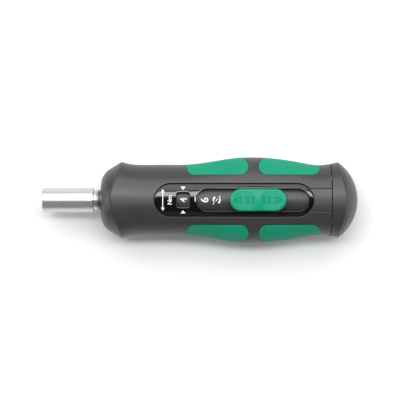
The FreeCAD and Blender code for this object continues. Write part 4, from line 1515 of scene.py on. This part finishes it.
@dataclass
class BitHolder:
    """Turned bit holder with its hexagon socket."""

    tip: float = -24.1
    rear: float = -3.1
    radius: float = 5.0
    neck: float = 4.2
    edge: float = 0.45
    rear_edge: float = 0.35
    across_flats: float = 6.41
    flare: float = 1.13
    depth: float = 10.5
    floor_shares: tuple[float, ...] = (0.02, 0.98, 1.0)
    wall_depths: tuple[float, ...] = (5.0, 0.62, 0.5)
    count: int = 144
    spindle: tuple[tuple[float, float], ...] = (
        (-0.6, 4.2), (0.0, 3.75), (7.6, 3.75), (8.0, 3.7), (26.0, 3.6), (26.2, 2.4),
    )

    def build(self) -> None:
        """Makes the holder as rings from the socket's floor to the neck."""
        turn = turns(self.count)
        fold = (turn + math.pi / 6) % (math.pi / 3) - math.pi / 6
        hexagon = self.across_flats / 2 / np.cos(fold)
        mouth = np.maximum(hexagon, self.across_flats / 2 * self.flare)
        loops = [ring(self.tip + self.depth, hexagon * share, turn) for share in self.floor_shares]
        loops += [ring(self.tip + deep, hexagon, turn) for deep in (self.depth - 0.05, *self.wall_depths)]
        loops += [ring(self.tip + 0.04, mouth, turn), ring(self.tip, mouth + 0.05, turn)]
        loops.append(ring(self.tip, self.radius - self.edge - 0.02, turn))
        for distance, drop in reversed(rounding(self.edge)):
            loops.append(ring(self.tip + drop, self.radius - distance, turn))
        loops += [ring(self.tip + 0.6, self.radius, turn), ring(self.tip + 10, self.radius, turn)]
        for distance, drop in reversed(rounding(self.rear_edge)):
            loops.append(ring(self.rear - distance, self.radius - drop, turn))
        loops += [ring(self.rear + 0.02, self.neck + 0.1, turn), ring(self.rear + 0.2, self.neck, turn)]
        loops += [ring(x, r, turn) for x, r in self.inner_profile()]
        piece("hex_bit_holder", ringed(loops, False), SATIN_STEEL, Body.SPINDLE, ["bit_holder"])

    def inner_profile(self) -> list[tuple[float, float]]:
        """Spindle behind the neck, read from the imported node's own length."""
        _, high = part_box("bit_holder")
        end = (high.x - PLACE[0]) / MM
        return [*self.spindle, (end - 0.3, 2.4), (end, 2.1)]


# ------------------------------------------------------------------ pieces that repeat


class NodeShape:
    """A shape that a Geometry Nodes tree makes."""

    @classmethod
    def tree(cls) -> bpy.types.NodeTree:
        """The tree, with its sizes as named inputs."""
        raise NotImplementedError

    @classmethod
    def made(cls, start: Shape, values: dict[str, object]) -> Shape:
        """Runs the tree.

        Args:
            start: Points and faces that go into it, which may be empty.
            values: Value of each input, by its name.

        Returns:
            Points and faces that come out.
        """
        mesh = bpy.data.meshes.new("start")
        mesh.from_pydata(np.asarray(start[0]).tolist(), [], start[1])
        work = bpy.data.objects.new("start", mesh)
        bpy.context.scene.collection.objects.link(work)
        change = work.modifiers.new("shape", "NODES")
        change.node_group = cls.tree()
        items = change.node_group.interface.items_tree
        sockets = {item.name: item.identifier for item in items if item.in_out == "INPUT"}
        for label, value in values.items():
            change[sockets[label]] = value
        bpy.context.view_layer.update()
        seen = work.evaluated_get(bpy.context.evaluated_depsgraph_get())
        result = bpy.data.meshes.new_from_object(seen)
        points = np.array([v.co[:] for v in result.vertices])
        faces = [list(p.vertices) for p in result.polygons]
        bpy.data.objects.remove(work)
        return points, faces


class AroundAxis(NodeShape):
    """Geometry Nodes tree that repeats one element around the drive axis."""

    @classmethod
    def tree(cls) -> bpy.types.NodeTree:
        """The tree, with the count, the first turn and the finish as named inputs.

        Returns:
            The tree.
        """
        return group_tree(
            "repeat_around_axis",
            "GeometryNodeTree",
            [
                ("Element", GEOMETRY, None),
                ("Count", "NodeSocketInt", None),
                ("First Turn", FLOAT, None),
                ("Finish", MATERIAL, None),
            ],
            [("Row", GEOMETRY)],
            {
                "places": ("GeometryNodePoints", {}),
                "spot": ("GeometryNodeInstanceOnPoints", {}),
                "index": ("GeometryNodeInputIndex", {}),
                "step": ("ShaderNodeMath", {"operation": "DIVIDE", 0: math.tau}),
                "turn": ("ShaderNodeMath", {"operation": "MULTIPLY_ADD"}),
                "pack": ("ShaderNodeCombineXYZ", {}),
                "real": ("GeometryNodeRealizeInstances", {}),
                "dress": ("GeometryNodeSetMaterial", {}),
            },
            [
                ("given", "Count", "places", "Count"),
                ("given", "Count", "step", 1),
                ("index", "Index", "turn", 0),
                ("step", 0, "turn", 1),
                ("given", "First Turn", "turn", 2),
                ("turn", 0, "pack", "X"),
                ("places", 0, "spot", "Points"),
                ("given", "Element", "spot", "Instance"),
                ("pack", 0, "spot", "Rotation"),
                ("spot", "Instances", "real", "Geometry"),
                ("real", "Geometry", "dress", "Geometry"),
                ("given", "Finish", "dress", "Material"),
                ("dress", "Geometry", "result", "Row"),
            ],
        )


@dataclass
class RepeatedPieces:
    """Screws and rollers that stand around the drive axis."""

    sides: int = 28
    screws_made: int = 4
    screw_turn: float = 45.0
    screw_circle: float = 12.1
    rollers_made: int = 6

    def pin(self, along: Sequence[tuple[float, float]], centre: Sequence[float], upright: bool) -> Shape:
        """A turned element.

        Args:
            along: Rows of distance and radius.
            centre: Where its axis starts.
            upright: True for one that stands up, False for one along the drive axis.

        Returns:
            Its points and faces.
        """
        turn = turns(self.sides)
        loops = []
        for distance, radius in along:
            c, s = radius * np.cos(turn), radius * np.sin(turn)
            level = np.full(turn.shape, distance)
            rows = [c, s, level] if upright else [level, s, c]
            loops.append(np.column_stack(rows) + np.array(centre))
        return ringed(loops, False)

    def screws(self) -> None:
        """Countersunk tail screws with their recesses."""
        low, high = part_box("tail_screws")
        back, head = (low.x - PLACE[0]) / MM, (high.x - PLACE[0]) / MM
        rows = [(back, 0.1), (back, 0.7), (back + 0.8, 1.0), (head - 1.0, 1.0), (head - 0.1, 1.85)]
        rows += [(head, 1.8), (head, 0.9), (head - 0.7, 0.3), (head - 0.7, 0.02)]
        turn = math.radians(self.screw_turn)
        values = {"Count": self.screws_made, "First Turn": turn, "Finish": PLAIN_STEEL.material()}
        shape = AroundAxis.made(self.pin(rows, (0, 0, self.screw_circle), False), values)
        piece("tail_screw_set", shape, PLAIN_STEEL, Body.HANDLE, ["tail_screws"])

    def rollers(self) -> None:
        """Radial rollers of the slipping clutch."""
        low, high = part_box("clutch_rollers")
        x = ((low.x + high.x) / 2 - PLACE[0]) / MM
        radius = (high.x - low.x) / 2 / MM
        rows = [(4.4, 0.02), (4.4, radius - 0.2), (4.6, radius)]
        rows += [(6.3, radius), (6.5, radius - 0.2), (6.5, 0.02)]
        values = {"Count": self.rollers_made, "First Turn": 0.0, "Finish": HARD_STEEL.material()}
        shape = AroundAxis.made(self.pin(rows, (x, 0, 0), True), values)
        piece("clutch_roller_set", shape, HARD_STEEL, Body.CLUTCH, ["clutch_rollers"])

    def build(self) -> None:
        """Makes every repeated piece."""
        self.screws()
        self.rollers()


class FlatWireCoil(NodeShape):
    """Geometry Nodes tree of a helical spring of flat wire along the drive axis."""

    @classmethod
    def tree(cls) -> bpy.types.NodeTree:
        """The tree, with the sizes of the spring and its finish as named inputs.

        Returns:
            The tree.
        """
        sizes = ("Turns", "Radius", "Length", "Wire Width", "Wire Thickness")
        return group_tree(
            "flat_wire_coil",
            "GeometryNodeTree",
            [(label, FLOAT, None) for label in sizes] + [("Finish", MATERIAL, None)],
            [("Spring", GEOMETRY)],
            {
                "helix": ("GeometryNodeCurveSpiral", {"Resolution": 40}),
                "upright": ("GeometryNodeSetCurveNormal", {"mode": "Z_UP"}),
                "wire": ("GeometryNodeCurvePrimitiveQuadrilateral", {}),
                "skin": ("GeometryNodeCurveToMesh", {"Fill Caps": True}),
                "turn": ("GeometryNodeTransform", {"Rotation": (0.0, math.pi / 2, 0.0)}),
                "real": ("GeometryNodeRealizeInstances", {}),
                "dress": ("GeometryNodeSetMaterial", {}),
            },
            [
                ("given", "Turns", "helix", "Rotations"),
                ("given", "Radius", "helix", "Start Radius"),
                ("given", "Radius", "helix", "End Radius"),
                ("given", "Length", "helix", "Height"),
                ("given", "Wire Width", "wire", "Width"),
                ("given", "Wire Thickness", "wire", "Height"),
                ("helix", "Curve", "upright", "Curve"),
                ("upright", "Curve", "skin", "Curve"),
                ("wire", "Curve", "skin", "Profile Curve"),
                ("skin", "Mesh", "turn", "Geometry"),
                ("turn", "Geometry", "real", "Geometry"),
                ("real", "Geometry", "dress", "Geometry"),
                ("given", "Finish", "dress", "Material"),
                ("dress", "Geometry", "result", "Spring"),
            ],
        )


@dataclass(frozen=True)
class CoilSizes:
    """Sizes of one spring of flat wire."""

    coils: float
    radius: float
    width: float
    thick: float


@dataclass
class ClutchSprings:
    """The two springs of the clutch, each between the ends of its imported node."""

    lift: float = 0.7
    high: CoilSizes = CoilSizes(6.0, 5.35, 2.0, 1.7)
    low: CoilSizes = CoilSizes(9.0, 3.4, 1.2, 1.4)

    def spring(self, node: str, sizes: CoilSizes) -> None:
        """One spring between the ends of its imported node.

        Args:
            node: Name of the node.
            sizes: Sizes of the spring.
        """
        low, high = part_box(node)
        length = (high.x - low.x) / MM
        values = {"Turns": sizes.coils, "Radius": sizes.radius, "Length": length - sizes.thick}
        values |= {"Wire Width": sizes.width, "Wire Thickness": sizes.thick, "Finish": PLAIN_STEEL.material()}
        points, faces = FlatWireCoil.made(([], []), values)
        points[:, 0] += (low.x - PLACE[0]) / MM - points[:, 0].min()
        made = piece(f"{node}_coil", (points, faces), PLAIN_STEEL, Body.HANDLE, [node])
        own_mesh(made)

    def build(self) -> None:
        """Makes both springs."""
        self.spring("high_spring", self.high)
        self.spring("low_spring", self.low)


# ------------------------------------------------------------------ studio


@dataclass
class Studio:
    """Camera, floor and soft lights."""

    camera_height: float = 0.735
    lens: float = 161.0
    floor_reach: float = 3.0
    world_strength: float = 0.11

    def camera(self) -> None:
        """Camera straight over the slide side."""
        data = bpy.data.cameras.new("camera")
        data.lens = self.lens
        data.sensor_width = 36.0
        data.clip_start = 0.01
        data.clip_end = 20.0
        obj = bpy.data.objects.new("camera", data)
        obj.location = (0.0, 0.0, PLACE[2] + self.camera_height)
        bpy.context.scene.collection.objects.link(obj)
        bpy.context.scene.camera = obj

    def lamp(self, name: str, place: Sequence[float], size: Sequence[float], power: float) -> None:
        """One soft lamp that faces the tool.

        Args:
            name: Name of the lamp.
            place: Where it stands, in metres.
            size: Its length and width, in metres.
            power: Its power, in watts.
        """
        data = bpy.data.lights.new(name, "AREA")
        data.shape = "RECTANGLE"
        data.size, data.size_y = size
        data.energy = power
        obj = bpy.data.objects.new(name, data)
        obj.location = place
        aim = Vector((0, 0, PLACE[2])) - Vector(place)
        obj.rotation_euler = aim.to_track_quat("-Z", "Y").to_euler()
        bpy.context.scene.collection.objects.link(obj)

    def floor(self) -> None:
        """Pale floor that keeps the tool's shadow."""
        mesh = bpy.data.meshes.new("floor")
        reach = self.floor_reach
        corners = [(-reach, -reach, 0), (reach, -reach, 0), (reach, reach, 0), (-reach, reach, 0)]
        mesh.from_pydata(corners, [], [[0, 1, 2, 3]])
        obj = bpy.data.objects.new("floor", mesh)
        bpy.context.scene.collection.objects.link(obj)
        made = bpy.data.materials.new("pale_floor")
        made.use_nodes = True
        shader = made.node_tree.nodes["Principled BSDF"]
        shader.inputs["Base Color"].default_value = (0.8, 0.8, 0.8, 1.0)
        shader.inputs["Roughness"].default_value = 0.8
        shader.inputs["Specular IOR Level"].default_value = 0.1
        mesh.materials.append(made)

    def world(self) -> None:
        """Even dim light from all round."""
        world = bpy.data.worlds.new("studio")
        bpy.context.scene.world = world
        world.use_nodes = True
        background = world.node_tree.nodes["Background"]
        background.inputs["Color"].default_value = (1.0, 1.0, 1.0, 1.0)
        background.inputs["Strength"].default_value = self.world_strength

    def build(self) -> None:
        """Sets the whole studio."""
        self.camera()
        self.floor()
        self.world()
        self.lamp("key_strip", (0.0, 0.18, 0.88), (1.1, 0.16), 6.0)
        self.lamp("lower_soft", (0.0, -0.62, 0.6), (1.4, 0.6), 0.7)
        self.lamp("upper_rim", (0.0, 0.85, 0.14), (1.3, 0.24), 1.1)
        self.lamp("upper_soft", (-0.1, 0.6, 0.72), (1.4, 0.68), 9.0)
        self.lamp("lower_rim", (0.05, -0.8, 0.1), (1.2, 0.1), 0.5)
        self.lamp("nose_rim", (-0.8, 0.0, 0.25), (0.6, 0.4), 2.4)
        self.lamp("tail_rim", (0.8, 0.0, 0.3), (0.7, 0.5), 3.0)
        bpy.context.scene.view_settings.view_transform = "Standard"


def dress_kept_nodes() -> None:
    """Gives every CAD node that is still shown the finish of its slot."""
    slots = [m["slot"] for m in frame["record"]["materials"]]
    for name, obj in frame["nodes"].items():
        old = obj.data.materials[0].name if obj.data.materials else ""
        slot = next((s for s in slots if old.startswith(s)), NODE_SLOTS.get(name, "steel"))
        obj.data.materials.clear()
        obj.data.materials.append(FINISH_OF_SLOT[slot].material())


def main() -> None:
    """Builds the tool and its studio in order."""
    logging.basicConfig(level=logging.INFO, format="%(name)s %(message)s")
    dress_kept_nodes()
    Handle().build()
    ScalePlate().build()
    slide = Slide()
    slide.build()
    prints = Prints()
    prints.on_bezel()
    prints.on_strip(slide)
    BitHolder().build()
    RepeatedPieces().build()
    ClutchSprings().build()
    Studio().build()


if __name__ == "__main__":
    main()
